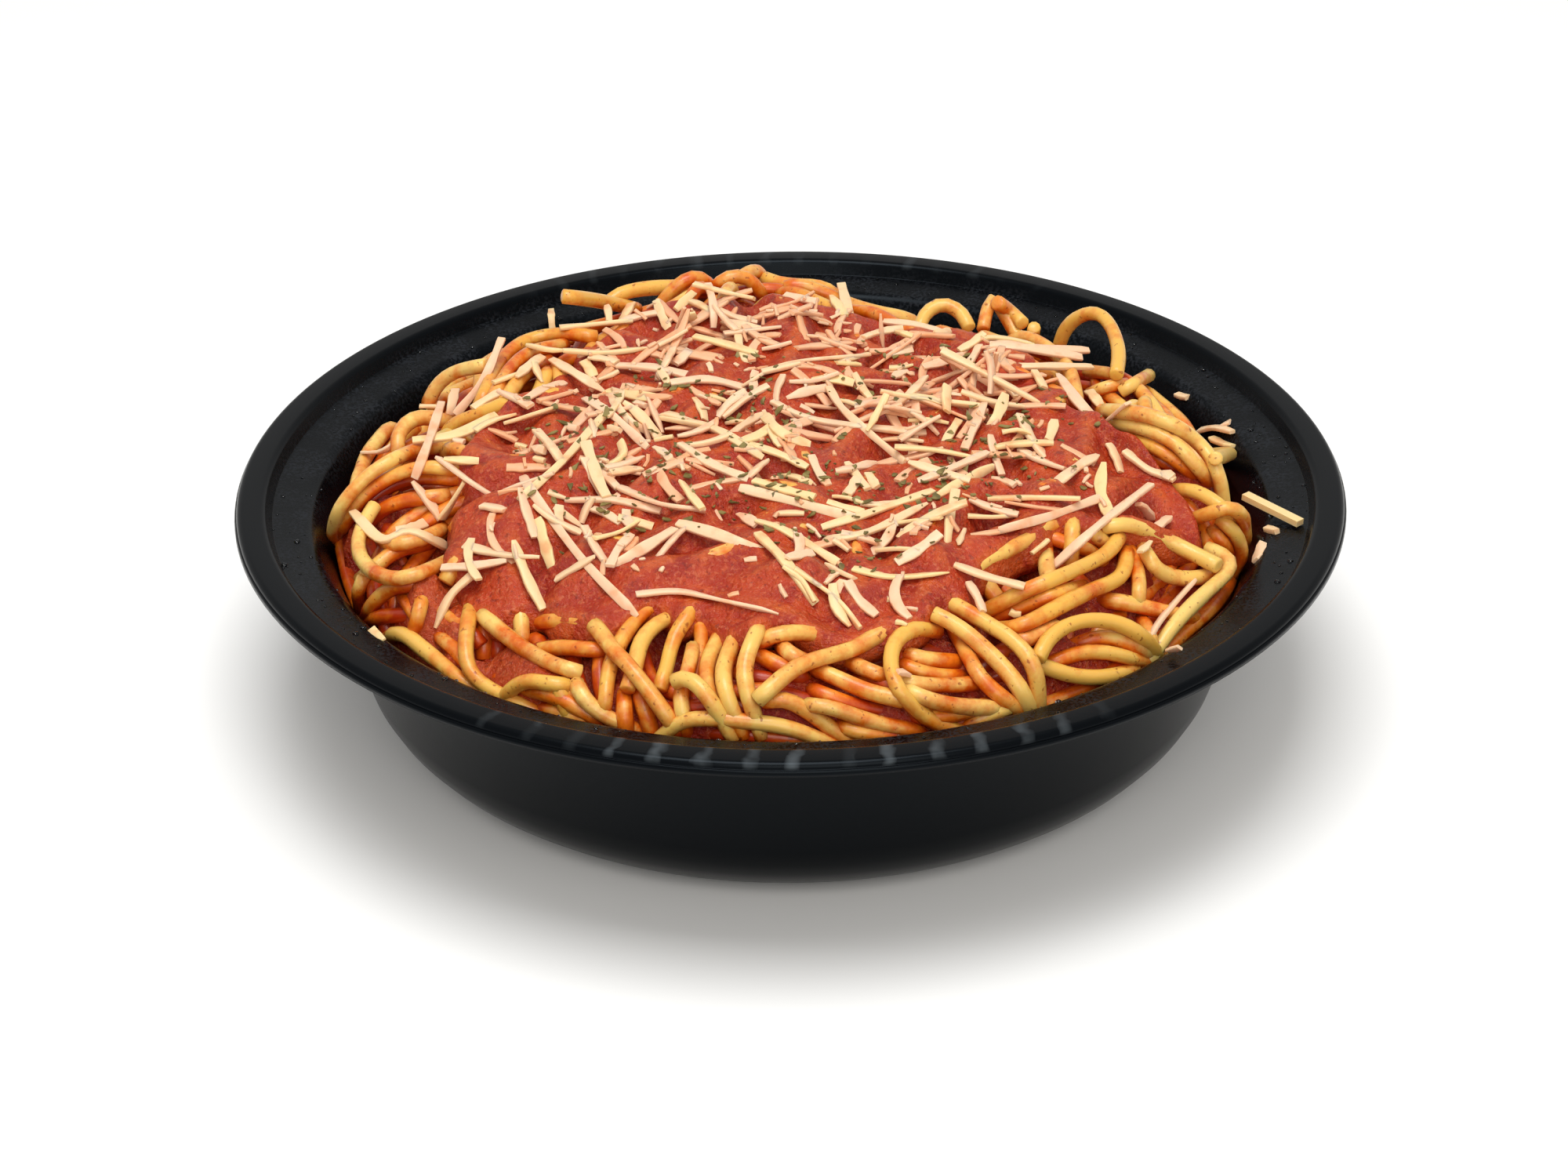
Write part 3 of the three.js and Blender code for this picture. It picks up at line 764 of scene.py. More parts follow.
def further_on(end, before):
    """The pixel past a strand's end, if the strand runs down there, close to the front wall."""
    ray = pixel_rays(end)[0]
    spot = camera_place + (LEDGE_HEIGHT - camera_place[2]) / ray[2] * ray
    onward = end - before
    if math.hypot(spot[0], spot[1]) > NEAR_WALL and spot[1] < 0 and onward[1] > 0:
        return [end + RUN_ON * onward / np.linalg.norm(onward)]
    return []


def run_on(pixels):
    """Strands that end close to the front wall go on down behind it."""
    line = np.array(pixels, float)
    return [*further_on(line[0], line[1]), *line, *further_on(line[-1], line[-2])]


def lay_by_pixels(pixels, dives):
    """A strand through pixels, as near the eye as the pile makes it and never sharply bent."""
    line = resampled(curved(run_on(pixels)), 12)
    depths, rays = ray_depths(line, widened(pile, NOODLE_RADIUS))
    depths = eased(eased_against(depths, np.minimum, 12, 3), 1)
    from_start = np.arange(len(line))
    for dive, away in zip(dives, (from_start, from_start[::-1])):
        depths += dive * np.exp(-away / DIVE_FADE)
    return along_rays(depths, rays)


def stand_by_pixels(pixels, lean=4.0):
    """A free loop: its ends rest on the pile, and the rest leans a little away from the eye."""
    line = resampled(curved(pixels), 10)
    depths, _ = ray_depths(line[[0, -1]], widened(pile, NOODLE_RADIUS))
    share = np.linspace(0, 1, len(line))
    between = depths[0] * (1 - share) + depths[1] * share + lean * np.sin(np.pi * share)
    return along_rays(between, pixel_rays(line))


def lay_group(group, standing=False):
    """Lays strands one after the other, and keeps how much sauce stains each along its way."""
    for start_stain, end_stain, *pixels in group:
        dives = [DIVE if stain >= BARE_STAIN else 0 for stain in (start_stain, end_stain)]
        points = stand_by_pixels(pixels) if standing else lay_by_pixels(pixels, dives)
        points = kept_inside(points)
        stains = np.linspace(start_stain, end_stain, len(points))
        stains = stains - PALER_RIGHT * smoothstep(points[:, 0], 15, 60)
        stamp(pile, points, NOODLE_RADIUS)
        strands.append((points, stains))


shown_before = len(strands)
lay_group(LYING_STRANDS)
lay_group(STANDING_STRANDS, standing=True)
print("strands laid by pixels:", len(strands) - shown_before)

# %% [markdown]
# ## The last loose strands
# Where the photograph shows nothing of a strand, under the sauce and on the far sides, loose ones
# finish the pile up to the heap's outside. The cells that the strands above cover are left alone, so
# none of those is buried.

# %% Fill the rest
shown_cover = nothing.copy()
for points, _ in strands[shown_before:]:
    fine = resampled(points, STAMP_STEP)
    i, j = cell_of(fine[:, 0]), cell_of(fine[:, 1])
    for di, dj, _ in disc_cells(NOODLE_RADIUS + 0.8):
        shown_cover[stepped(i, di), stepped(j, dj)] = True
count = fill_heap(heap_map + 0.3, 350, shown_cover)
count += fill_heap(heap_map + 0.6, 900, shown_cover, lengths=(30, 90), picks_each=600)
print("loose strands laid on top:", count)
bare = (pile < heap_map - 4.5) & (radius_map < heap_reach(azimuth_map) - 1)
print("share of the heap that is still low:", round(float(bare.sum() / (radius_map < 92).sum()), 3))

# %% [markdown]
# ## Strands as tubes
# A strand's mesh is a ring of ten points carried along its line. The ring is turned as little as
# possible from step to step, which keeps the tube from twisting. Real spaghetti isn't a perfect tube:
# the radius swells and shrinks a little, and an end is cut square with a soft edge.

# %% Tube meshes
TUBE_SIDES = 10
TUBE_STEP = 2.0
END_EDGE = (0.25, 0.72)  # how far the cut end stands out, and its share of the radius
RUN_APART = 200.0  # keeps the stains of one strand from being those of the next
UNDERSIDE_SHADE = 0.35  # painted shade on a strand's underside, added to its depth


def carried_frames(points):
    """Two directions across a line at each point, carried along without twist."""
    along = directions(points)
    across = np.cross(along[0], [0, 0, 1.0])
    sides = []
    for direction in along:
        across = across - direction * (across @ direction)
        across = across / np.linalg.norm(across)
        sides.append(across)
    sides = np.array(sides)
    return sides, np.cross(along, sides)


def tube(points, radius):
    """Points and faces of a closed tube along a line, with soft square ends."""
    line = resampled(points, TUBE_STEP)
    sideways, upward = carried_frames(line)
    along = directions(line)
    swell = 1 + 0.05 * np.sin(np.arange(len(line)) * rng.uniform(0.25, 0.5) + rng.uniform(0, 6))
    out, narrow = END_EDGE
    centres = np.vstack([line[:1] - along[:1] * out, line, line[-1:] + along[-1:] * out])
    sideways = np.vstack([sideways[:1], sideways, sideways[-1:]])
    upward = np.vstack([upward[:1], upward, upward[-1:]])
    radii = radius * np.r_[narrow, swell, narrow]
    turn = 2 * np.pi * np.arange(TUBE_SIDES) / TUBE_SIDES
    rings = (
        centres[:, None]
        + (radii[:, None] * np.cos(turn))[..., None] * sideways[:, None]
        + (radii[:, None] * np.sin(turn))[..., None] * upward[:, None]
    )
    return rings.reshape(-1, 3), ring_faces(len(centres), TUBE_SIDES)


def ring_faces(ring_count, sides):
    """Quads between rings of points, and one face over each end."""
    faces = []
    for k in range(ring_count - 1):
        for s in range(sides):
            t = (s + 1) % sides
            faces.append((k * sides + s, k * sides + t, (k + 1) * sides + t, (k + 1) * sides + s))
    faces.append(tuple(range(sides - 1, -1, -1)))
    faces.append(tuple((ring_count - 1) * sides + s for s in range(sides)))
    return faces


def joined(parts):
    """Many small meshes as one: all points, and faces that count on."""
    points, faces, first = [], [], 0
    for part_points, part_faces in parts:
        points.append(part_points)
        faces.extend([tuple(first + v for v in face) for face in part_faces])
        first += len(part_points)
    return np.vstack(points), faces


calm_pile = blurred(np.where(radius_map < heap_reach(azimuth_map) + 2, pile, heap_map), 2.5)


def make_strands(name, group):
    """One piece of many strands, with its stain and its own tone stored for the material."""
    parts, stains, tones, runs = [], [], [], []
    for points, stain in group:
        part = tube(points, NOODLE_RADIUS * rng.uniform(0.94, 1.05))
        parts.append(part)
        rings = len(part[0]) // TUBE_SIDES
        along = np.interp(np.linspace(0, 1, rings), np.linspace(0, 1, np.size(stain)),
                          np.atleast_1d(stain))
        stains.append(np.repeat(along, TUBE_SIDES))
        tones.append(np.full(len(part[0]), rng.uniform()))
        runs.append(np.repeat(np.arange(rings) * TUBE_STEP, TUBE_SIDES) + RUN_APART * len(runs))
    piece = make_object(name, *joined(parts))
    for attribute, values in (("run", runs), ("stain", stains), ("tone", tones)):
        set_attribute(piece, attribute, np.concatenate(values))
    places = mesh_points(piece)
    # Depth below the smoothed heap and a downward-facing side turn the pasta deeper orange and
    # red-brown: partly sauce stain deep in the heap, partly painted shade.
    below = look_up(calm_pile, places[:, 0], places[:, 1]) - places[:, 2]
    facing = np.array([v.normal[2] for v in piece.data.vertices])
    underside_shade = UNDERSIDE_SHADE * smoothstep(-facing, -0.3, 1)
    set_attribute(piece, "depth", smoothstep(below, -1.2, 4.0) + underside_shade)
    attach(piece, "root")
    return piece


under_strands = make_strands("spaghetti_under", strands[:shown_before])
top_strands = make_strands("spaghetti_top", strands[shown_before:])
for piece in (under_strands, top_strands):
    print(piece.name, len(piece.data.polygons), "faces")

# %% [markdown]
# ## What lies between the strands
# Deep in the heap, thin sauce fills the gaps, so what shows between two strands is wet sauce, darkened
# as painted shade.
# A core stands for all that: a round height field that follows the pile a little below its outside.
# Where sauce has run down at the front left, the core comes up higher between the strands.

# %% Core under the strands
ROUND_STEPS = 220
CORE_RINGS = 60
POOLS = [((520, 736), (596, 830), 5.0), ((560, 830), (740, 900), 4.4)]  # pixels, and the rise in mm
MM_ACROSS = 0.168  # of the food, in one pixel's width
MM_AWAY = 0.30  # and in one pixel's height, as the view is slanted
BALL = 2.0  # rolls along the bottoms of the gaps between strands
BELOW_CALM = 4.4  # how far the core stays below the smoothed heap
BELOW_GAPS = 1.3  # and below the bottoms of the gaps
DEEPEST = 9.0  # but no further than this below the heap's outside
CORE_UNDERSIDE = ([0, 60, 80, 95], [2.6, 2.6, 8.0, 30.0])  # radii, and the heights there
WETTEST = 0.12  # how thin and orange the sauce gets for each millimetre of rise


def round_field(name, reach, top, bottom, rings, steps):
    """A closed height field over a round outline: rings of points from the middle to the outline."""
    azimuth = np.linspace(0, 2 * np.pi, steps, endpoint=False)
    shares = np.linspace(0, 1, rings + 1)[1:]
    radii = shares[:, None] * reach(azimuth)[None, :]
    x, y = radii * np.cos(azimuth), radii * np.sin(azimuth)
    upper = np.column_stack([x.ravel(), y.ravel(), top(x, y, shares[:, None]).ravel()])
    lower = np.column_stack([x.ravel(), y.ravel(), bottom(x, y, shares[:, None]).ravel()])
    middle = np.zeros((1, 1))
    tips = [[0, 0, float(top(middle, middle, middle)[0, 0])],
            [0, 0, float(bottom(middle, middle, middle)[0, 0])]]
    count = rings * steps
    faces = []
    for k in range(rings - 1):
        for s in range(steps):
            t = (s + 1) % steps
            a, b, c, d = k * steps + s, (k + 1) * steps + s, (k + 1) * steps + t, k * steps + t
            faces.append((a, b, c, d))
            faces.append((count + d, count + c, count + b, count + a))
    for s in range(steps):
        t = (s + 1) % steps
        faces.append((2 * count, s, t))
        faces.append((2 * count + 1, count + t, count + s))
        a, b = (rings - 1) * steps + s, (rings - 1) * steps + t
        faces.append((a, count + a, count + b, b))
    return make_object(name, np.vstack([upper, lower, tips]), faces)


def pool_rise(x, y):
    """How much higher the wet core comes where sauce has run down between the strands."""
    rise = np.zeros_like(x)
    for low, high, height in POOLS:
        middle = [(low[0] + high[0]) / 2, (low[1] + high[1]) / 2]
        depth, ray = ray_depths([middle], pile)
        place = camera_place + depth[0] * ray[0]
        wide = MM_ACROSS * (high[0] - low[0]) / 2
        tall = MM_AWAY * (high[1] - low[1]) / 2
        away = np.hypot((x - place[0]) / wide, (y - place[1]) / tall)
        rise = rise + height * (1 - smoothstep(away, 0.7, 1.2))
    return rise


gap_pile = blurred(BALL - widened(-pile, BALL), 1.2)
core_map = np.minimum(calm_pile - BELOW_CALM, gap_pile - BELOW_GAPS)
core_map = np.maximum(core_map, heap_map - DEEPEST)


def core_top(x, y, share):
    return look_up(core_map, x, y) + pool_rise(x, y)


def core_bottom(x, y, share):
    return np.interp(np.hypot(x, y), *CORE_UNDERSIDE)


core = round_field("wet_core", lambda az: heap_reach(az) - 0.8, core_top, core_bottom,
                   CORE_RINGS, ROUND_STEPS)
core_points = mesh_points(core)
set_attribute(core, "thin", WETTEST * pool_rise(core_points[:, 0], core_points[:, 1]))
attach(core, "root")
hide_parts("spaghetti")
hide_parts("spaghetti")
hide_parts("spaghetti")
print("core:", len(core.data.polygons), "faces")

# %% [markdown]
# ## The sauce
# Thick sauce was ladled on last. Its outline is read from the photograph and found on the pile by the
# same rays. Inside it the sauce levels out the strands but still shows the highest ones as soft
# ridges, and at its edge it ends in a rounded lip that hangs over the strands.

# %% Sauce outline
SAUCE_OUTLINE = [
    (590, 640), (578, 662), (570, 681), (572, 694), (557, 712), (561, 727), (585, 745), (587, 758),
    (596, 771), (609, 782), (629, 784), (657, 788), (675, 790), (681, 784), (705, 786), (723, 786),
    (746, 807), (769, 795), (788, 805), (792, 791), (815, 775), (836, 765), (850, 779), (871, 784),
    (894, 781), (901, 800), (912, 811), (928, 816), (945, 814), (965, 809), (981, 798), (998, 788),
    (1023, 798), (1044, 805), (1060, 821), (1076, 819), (1092, 812), (1111, 805), (1129, 801),
    (1152, 801), (1171, 798), (1178, 791), (1191, 773), (1210, 775), (1221, 764), (1237, 766),
    (1245, 759), (1272, 741), (1293, 729), (1301, 715), (1329, 699), (1345, 680), (1366, 660),
    (1394, 662), (1408, 669), (1426, 662), (1449, 665), (1475, 668), (1491, 674), (1511, 688),
    (1532, 699), (1548, 699), (1537, 681), (1525, 667), (1507, 651), (1500, 630), (1498, 614),
    (1467, 599), (1430, 569), (1412, 556), (1415, 530), (1382, 518), (1341, 503), (1334, 481),
    (1297, 462), (1245, 432), (1200, 421), (1152, 414), (1108, 407), (1093, 403), (1080, 398),
    (1060, 390), (1030, 384), (970, 386), (910, 382), (874, 384), (811, 388), (800, 410), (760, 430),
    (720, 470), (690, 490), (640, 520), (600, 545), (585, 570), (575, 600), (583, 620),
]
outline = along_rays(*ray_depths(SAUCE_OUTLINE, pile + 0.8))
outline_azimuth = np.arctan2(outline[:, 1], outline[:, 0])
outline_radius = np.hypot(outline[:, 0], outline[:, 1])
round_azimuth = np.linspace(-np.pi, np.pi, 361)
sauce_radii = np.interp(round_azimuth, outline_azimuth, outline_radius, period=2 * np.pi)
window = np.array([1, 2, 3, 2, 1]) / 9
sauce_radii = np.convolve(np.r_[sauce_radii[-3:-1], sauce_radii, sauce_radii[1:3]], window, "valid")


def sauce_reach(azimuth):
    """How far out the sauce goes in a direction, with small waves in its edge."""
    wavy = 0.5 * np.sin(23 * azimuth + 1) + 0.4 * np.sin(41 * azimuth + 2)
    return np.interp(azimuth, round_azimuth, sauce_radii, period=2 * np.pi) + wavy


print("sauce reaches from", sauce_radii.min().round(1), "to", sauce_radii.max().round(1), "mm")

# %% Sauce surface
SAUCE_LIP = 2.6  # millimetres over which the edge rounds down
LIP_SINKS = 2.0  # how far below the pile's level the edge ends
SAUCE_BELOW = 3.2  # and how far below it the underside is
SAUCE_THICKNESS = 1.15
SAUCE_STEPS = (96, 420)  # rings, and steps round each


def smooth_noise(seed, size_mm):
    """A soft random field on the map, about -1 to 1, with lumps of one size."""
    field = blurred(np.random.default_rng(seed).normal(size=pile.shape), size_mm / 2.2)
    return field / np.abs(field).std() / 2.5


level_pile = blurred(pile, 2.8)
covered_pile = blurred(widened(pile, 2.2) - 2.2, 1.5)
pulpy = 0.35 * smooth_noise(5, 3.0) + 0.16 * smooth_noise(6, 1.8)
thickness_field = SAUCE_THICKNESS + 0.75 * smooth_noise(7, 11.0) + pulpy
front_lobe = hill(map_x, map_y, -58, -38, 13)
sauce_full = np.maximum(level_pile + thickness_field + 1.6 * front_lobe,
                        covered_pile + 0.6 + 0.8 * pulpy)


def sauce_top(x, y, share):
    azimuth = np.arctan2(y, x)
    inward = (1 - share) * sauce_reach(azimuth)
    lip = np.sqrt(1 - (1 - np.clip(inward / SAUCE_LIP, 0, 1)) ** 2)
    low = look_up(level_pile, x, y) - LIP_SINKS
    return low + (look_up(sauce_full, x, y) - low) * (0.15 + 0.85 * lip)


def sauce_bottom(x, y, share):
    return look_up(level_pile, x, y) - SAUCE_BELOW


sauce = round_field("marinara_sauce", sauce_reach, sauce_top, sauce_bottom, *SAUCE_STEPS)
sauce_points = mesh_points(sauce)
film = sauce_points[:, 2] - look_up(pile, sauce_points[:, 0], sauce_points[:, 1])
set_attribute(sauce, "thin", 1 - smoothstep(film, 0.1, 0.95))
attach(sauce, "root")
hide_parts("sauce")
inside_sauce = radius_map < sauce_reach(azimuth_map) - 0.3
map_share = radius_map / sauce_reach(azimuth_map)
top_map = np.where(inside_sauce, np.maximum(pile, sauce_top(map_x, map_y, map_share)), pile)
wall_map = np.interp(radius_map, wall_inside[:, 0], wall_inside[:, 1])
top_map = np.where(radius_map > heap_reach(azimuth_map), wall_map, np.maximum(top_map, wall_map))
print("sauce:", len(sauce.data.polygons), "faces")

# %% [markdown]
# ## The cheese
# Shredded mozzarella falls in stiff, square-cut strips about two millimetres wide. The shreds that
# show are set by the pixels of their ends, or of their bends, and come to lie on whatever is highest
# along them, one on top of the other. A stiff shred touches in two places, so each is laid as the
# lowest straight line that nothing pokes through.

# %% Pixels of the shreds
LEFT_SHREDS = [
    ((463, 577), (505, 566)), ((535, 518), (563, 521)), ((563, 514), (548, 560), (529, 610)),
    ((581, 497), (574, 529)), ((640, 432), (581, 529)), ((526, 562), (633, 529)),
    ((603, 521), (640, 499)), ((637, 499), (677, 518)), ((644, 540), (707, 521)),
    ((629, 488), (666, 473)), ((659, 481), (692, 455)), ((674, 440), (726, 447)),
    ((681, 462), (692, 488)), ((703, 458), (770, 499)), ((714, 418), (807, 410)),
    ((792, 410), (837, 399)), ((703, 395), (705, 423)), ((774, 390), (777, 410)),
    ((792, 410), (805, 388)), ((559, 584), (640, 640)), ((566, 586), (611, 588)),
    ((615, 645), (644, 651)), ((526, 614), (563, 662)), ((592, 614), (563, 662)),
    ((450, 653), (487, 688), (522, 677), (570, 697)), ((505, 677), (542, 667)),
    ((592, 696), (688, 711)), ((563, 724), (646, 715)), ((607, 729), (555, 801)),
    ((474, 803), (490, 816)),
]
BACK_SHREDS = [
    ((837, 384), (853, 420)), ((862, 395), (885, 373)), ((870, 407), (888, 401)),
    ((881, 384), (907, 399)), ((903, 362), (910, 418)), ((885, 362), (962, 381)),
    ((918, 395), (966, 410)), ((922, 410), (970, 421)), ((940, 418), (955, 466)),
    ((885, 429), (966, 451)), ((840, 440), (877, 421)), ((718, 447), (825, 444)),
    ((788, 466), (885, 481)), ((774, 499), (851, 510)), ((855, 488), (951, 495)),
    ((1073, 362), (1088, 418)), ((1060, 377), (1077, 403)), ((1060, 462), (1108, 451)),
    ((1127, 410), (1208, 425)), ((1134, 420), (1164, 429)), ((1130, 455), (1164, 445)),
    ((1223, 447), (1256, 425)), ((1245, 429), (1389, 447)), ((1262, 440), (1380, 456)),
    ((1289, 468), (1393, 468)), ((1201, 447), (1326, 514)), ((1349, 477), (1397, 536)),
    ((1319, 473), (1332, 495)), ((1260, 447), (1263, 503)),
]
MIDDLE_SHREDS = [
    ((745, 508), (778, 527), (826, 571)), ((776, 503), (802, 536), (831, 554)),
    ((684, 549), (718, 592)), ((867, 566), (954, 611)), ((869, 614), (896, 649)),
    ((835, 561), (859, 558)), ((837, 536), (852, 528), (901, 547)), ((745, 584), (769, 636)),
    ((765, 593), (789, 623)), ((774, 595), (795, 580), (791, 563)), ((771, 597), (821, 582)),
    ((778, 603), (819, 598)), ((721, 638), (843, 652)), ((789, 621), (900, 652)),
    ((756, 634), (741, 667)), ((756, 649), (791, 668)), ((756, 686), (813, 667)),
    ((745, 671), (776, 722)), ((806, 682), (778, 722)), ((861, 675), (782, 722)),
    ((880, 667), (839, 711)), ((864, 667), (979, 707)), ((604, 549), (656, 529)),
    ((669, 510), (721, 488)), ((745, 460), (758, 481)), ((752, 455), (787, 462)),
    ((763, 484), (789, 473)), ((841, 473), (852, 490)), ((859, 444), (843, 473)),
    ((880, 447), (861, 464)), ((699, 627), (721, 636)), ((706, 647), (741, 671)),
    ((685, 662), (705, 728)), ((771, 529), (716, 590), (662, 638)),
    ((667, 608), (682, 632), (745, 716), (813, 786)), ((747, 564), (763, 612), (774, 634)),
    ((905, 505), (930, 514)), ((885, 507), (899, 536)), ((914, 532), (951, 499)),
    ((840, 532), (909, 546), (973, 584)), ((956, 566), (1030, 596)), ((927, 539), (950, 539)),
    ((945, 563), (983, 545)), ((983, 548), (995, 570)), ((972, 527), (999, 554), (1033, 568)),
    ((954, 610), (977, 588)), ((961, 613), (1039, 635)), ((1001, 606), (1035, 619)),
    ((1035, 581), (1057, 619)), ((1080, 590), (1107, 624)), ((1066, 601), (1118, 590)),
    ((1107, 604), (1118, 622)), ((1093, 610), (1080, 631)), ((1055, 640), (1102, 653)),
    ((1064, 633), (1102, 644)), ((943, 622), (1020, 642), (1090, 661)), ((992, 655), (1026, 655)),
    ((1030, 669), (1046, 687)), ((941, 655), (965, 669)), ((1004, 711), (1037, 705)),
    ((965, 664), (1004, 678), (1069, 718)), ((966, 680), (1004, 719), (1040, 770)),
    ((1073, 680), (1120, 693)), ((1118, 702), (1174, 702)), ((1143, 658), (1107, 709)),
    ((1199, 680), (1143, 718)), ((1201, 660), (1145, 669)), ((1183, 642), (1109, 678), (1051, 689)),
    ((1190, 626), (1107, 655), (1048, 673)), ((1064, 689), (1084, 702)),
    ((1066, 510), (1096, 518)), ((1035, 483), (1089, 489)), ((1006, 487), (1069, 476)),
    ((1003, 508), (1062, 494)), ((963, 474), (961, 498)), ((999, 478), (988, 523)),
    ((921, 532), (956, 505), (980, 492)), ((948, 492), (1001, 465), (1108, 453)),
    ((1090, 477), (1115, 514)), ((1123, 499), (1249, 518)), ((1161, 505), (1208, 516)),
    ((1125, 561), (1178, 563)), ((1158, 536), (1210, 540)), ((1125, 518), (1172, 530)),
    ((1145, 516), (1180, 481)), ((1134, 469), (1165, 465)), ((1208, 492), (1208, 525)),
    ((985, 512), (1021, 530), (1070, 541), (1181, 552)), ((1057, 494), (1080, 527), (1154, 590)),
    ((1226, 499), (1304, 518)), ((1158, 523), (1197, 554)), ((1223, 536), (1204, 566)),
    ((1282, 503), (1263, 547)), ((1256, 514), (1230, 573)), ((1300, 529), (1334, 584)),
    ((1345, 536), (1337, 562)), ((1141, 570), (1245, 584)), ((1171, 614), (1260, 577)),
    ((1197, 632), (1267, 595)), ((1263, 555), (1278, 606)), ((1278, 551), (1315, 555)),
    ((1300, 573), (1360, 599)),
]
RIGHT_SHREDS = [
    ((1341, 621), (1400, 580)), ((1415, 566), (1430, 603)), ((1434, 575), (1498, 612)),
    ((1408, 590), (1415, 658)), ((1468, 618), (1334, 731)), ((1403, 635), (1274, 676)),
    ((1219, 625), (1208, 700)), ((1234, 658), (1297, 658)), ((1260, 636), (1378, 636)),
    ((1452, 643), (1469, 662)),
    ((1491, 660), (1472, 676)), ((1468, 690), (1454, 704)), ((1336, 688), (1315, 706)),
    ((1481, 602), (1495, 609)), ((1413, 536), (1439, 514)), ((1389, 499), (1404, 518)),
    ((1569, 538), (1556, 545)), ((1530, 549), (1572, 551)), ((1545, 558), (1574, 569)),
    ((1611, 692), (1601, 715)), ((1523, 741), (1445, 856)), ((1491, 830), (1505, 826)),
]
FRONT_SHREDS = [
    ((811, 758), (861, 754), (901, 761), (993, 784)), ((1000, 722), (1039, 768)),
    ((1014, 725), (1069, 766), (1097, 803)), ((1055, 720), (1090, 738)),
    ((1088, 725), (1140, 736), (1210, 730)), ((1081, 741), (1118, 785)),
    ((1051, 745), (1067, 731)), ((1067, 757), (1076, 741)), ((1217, 720), (1307, 748)),
    ((1235, 743), (1254, 780)),
]
CRUMBS = [
    (1138, 766), (1150, 795), (1152, 859), (1295, 782), (1508, 505), (730, 545), (784, 547),
    (817, 516), (688, 573), (688, 586), (665, 569), (585, 562), (1587, 676), (1622, 676),
]
print("shreds read:", sum(map(len, (LEFT_SHREDS, BACK_SHREDS, MIDDLE_SHREDS, RIGHT_SHREDS,
                                    FRONT_SHREDS))), "and crumbs:", len(CRUMBS))

# %% Lay the shreds
SHRED_WIDTH = 2.1
SHRED_THICKNESS = 0.85
TAPER = 5.0  # millimetres over which a pointed shred narrows
STEEPEST_SHRED = 1.3  # how far a shred may run away from the eye for each millimetre across the view
SOFT_TOUCH = 0.3  # how far what is under a shred may press into it
SHRED_REACH = RIM_RADIUS - 8  # how far out shreds lie
MOST_RAISED = 6.0  # how far over its middle a shred's end may stand, towards the eye
POINTED = [0.45, 0.8, 0.92]  # how much of its width a shred keeps at an end
SHRED_PROFILE = np.array([(-1, -0.7), (-0.85, -1), (0.85, -1), (1, -0.7),
                          (1, 0.7), (0.85, 1), (-0.85, 1), (-1, 0.7)])
shred_parts, shred_tones = [], []


def lowest_line(depths):
    """The straight line of depths closest behind which nothing pokes through, bar a soft touch."""
    count = len(depths)
    places = np.arange(count)
    best, best_gap = None, None
    for i in range(count):
        for j in range(i + 1, count):
            line = depths[i] + (depths[j] - depths[i]) * (places - i) / (j - i)
            if (line - depths).max() > SOFT_TOUCH:
                continue
            gap = (depths - line).sum()
            if best is None or gap < best_gap:
                best, best_gap = line, gap
    return depths if best is None else best


def lay_shred(pixels):
    """The middle line of a shred through pixels, on top of what lies there."""
    support = top_map + SHRED_THICKNESS / 2 - 0.2
    if len(pixels) == 2:
        start, end = np.array(pixels, float)
        bow = rng.normal(0, 0.05) * np.array([start[1] - end[1], end[0] - start[0]])
        line = resampled(curved([start, (start + end) / 2 + bow, end]), 10)
        depths, rays = ray_depths(line, support, SHRED_REACH)
        depths = np.maximum(lowest_line(depths), np.median(depths) - MOST_RAISED)
    else:
        line = resampled(curved(pixels), 8)
        depths, rays = ray_depths(line, support, SHRED_REACH)
        depths = eased_against(depths, np.minimum, 10, 2)
    across = np.linalg.norm(rays[-1] - rays[0]) * depths[0]
    run = abs(depths[-1] - depths[0])
    near = depths.min()
    shorten = min(1.0, STEEPEST_SHRED * across / max(run, 0.01))
    points = along_rays(near + (depths - near) * shorten, rays)
    stamp_shred(points)
    return points


def stamp_shred(points, radius=0.9):
    """Raises the map to a shred's flat top."""
    stamp(top_map, points - [0, 0, radius - SHRED_THICKNESS / 2], radius)


def shred_mesh(points, width, thickness):
    """A strip with soft edges along a line, tapered a little to its ends."""
    line = resampled(points, 1.6)
    sideways, upward = carried_frames(line)
    roll = rng.normal(0, 0.25)
    twist = roll + np.linspace(0, rng.normal(0, 0.5), len(line))
    c, s = np.cos(twist)[:, None], np.sin(twist)[:, None]
    lean = c * sideways + s * upward
    rise = c * upward - s * sideways
    share = np.linspace(0, 1, len(line))
    blunt = rng.choice(POINTED, 2, p=[0.12, 0.38, 0.5])
    length = max(np.linalg.norm(line[-1] - line[0]), 1.0)
    slope = np.minimum(length * share, length * (1 - share)) / TAPER
    ends = np.minimum(1, np.where(share < 0.5, blunt[0], blunt[1]) + slope)
    uneven = 1 + 0.13 * np.sin(share * rng.uniform(6, 14) + rng.uniform(0, 6))
    wide = (width / 2 * ends * uneven)[:, None, None]
    thick = (thickness / 2 * ends)[:, None, None]
    rings = line[:, None] + wide * SHRED_PROFILE[None, :, :1] * lean[:, None]
    rings = rings + thick * SHRED_PROFILE[None, :, 1:] * rise[:, None]
    return rings.reshape(-1, 3), ring_faces(len(line), len(SHRED_PROFILE))


def add_shred(points, width=SHRED_WIDTH, thickness=SHRED_THICKNESS, tone=None):
    """Makes the strip; its tone runs from cream at 0 to the pink of sauce soaked in at 1."""
    wide = width * rng.uniform(0.72, 1.12)
    part = shred_mesh(points, wide, thickness * rng.uniform(0.8, 1.15))
    shred_parts.append(part)
    shred_tones.append(np.full(len(part[0]), rng.uniform(0, 0.62) if tone is None else tone))


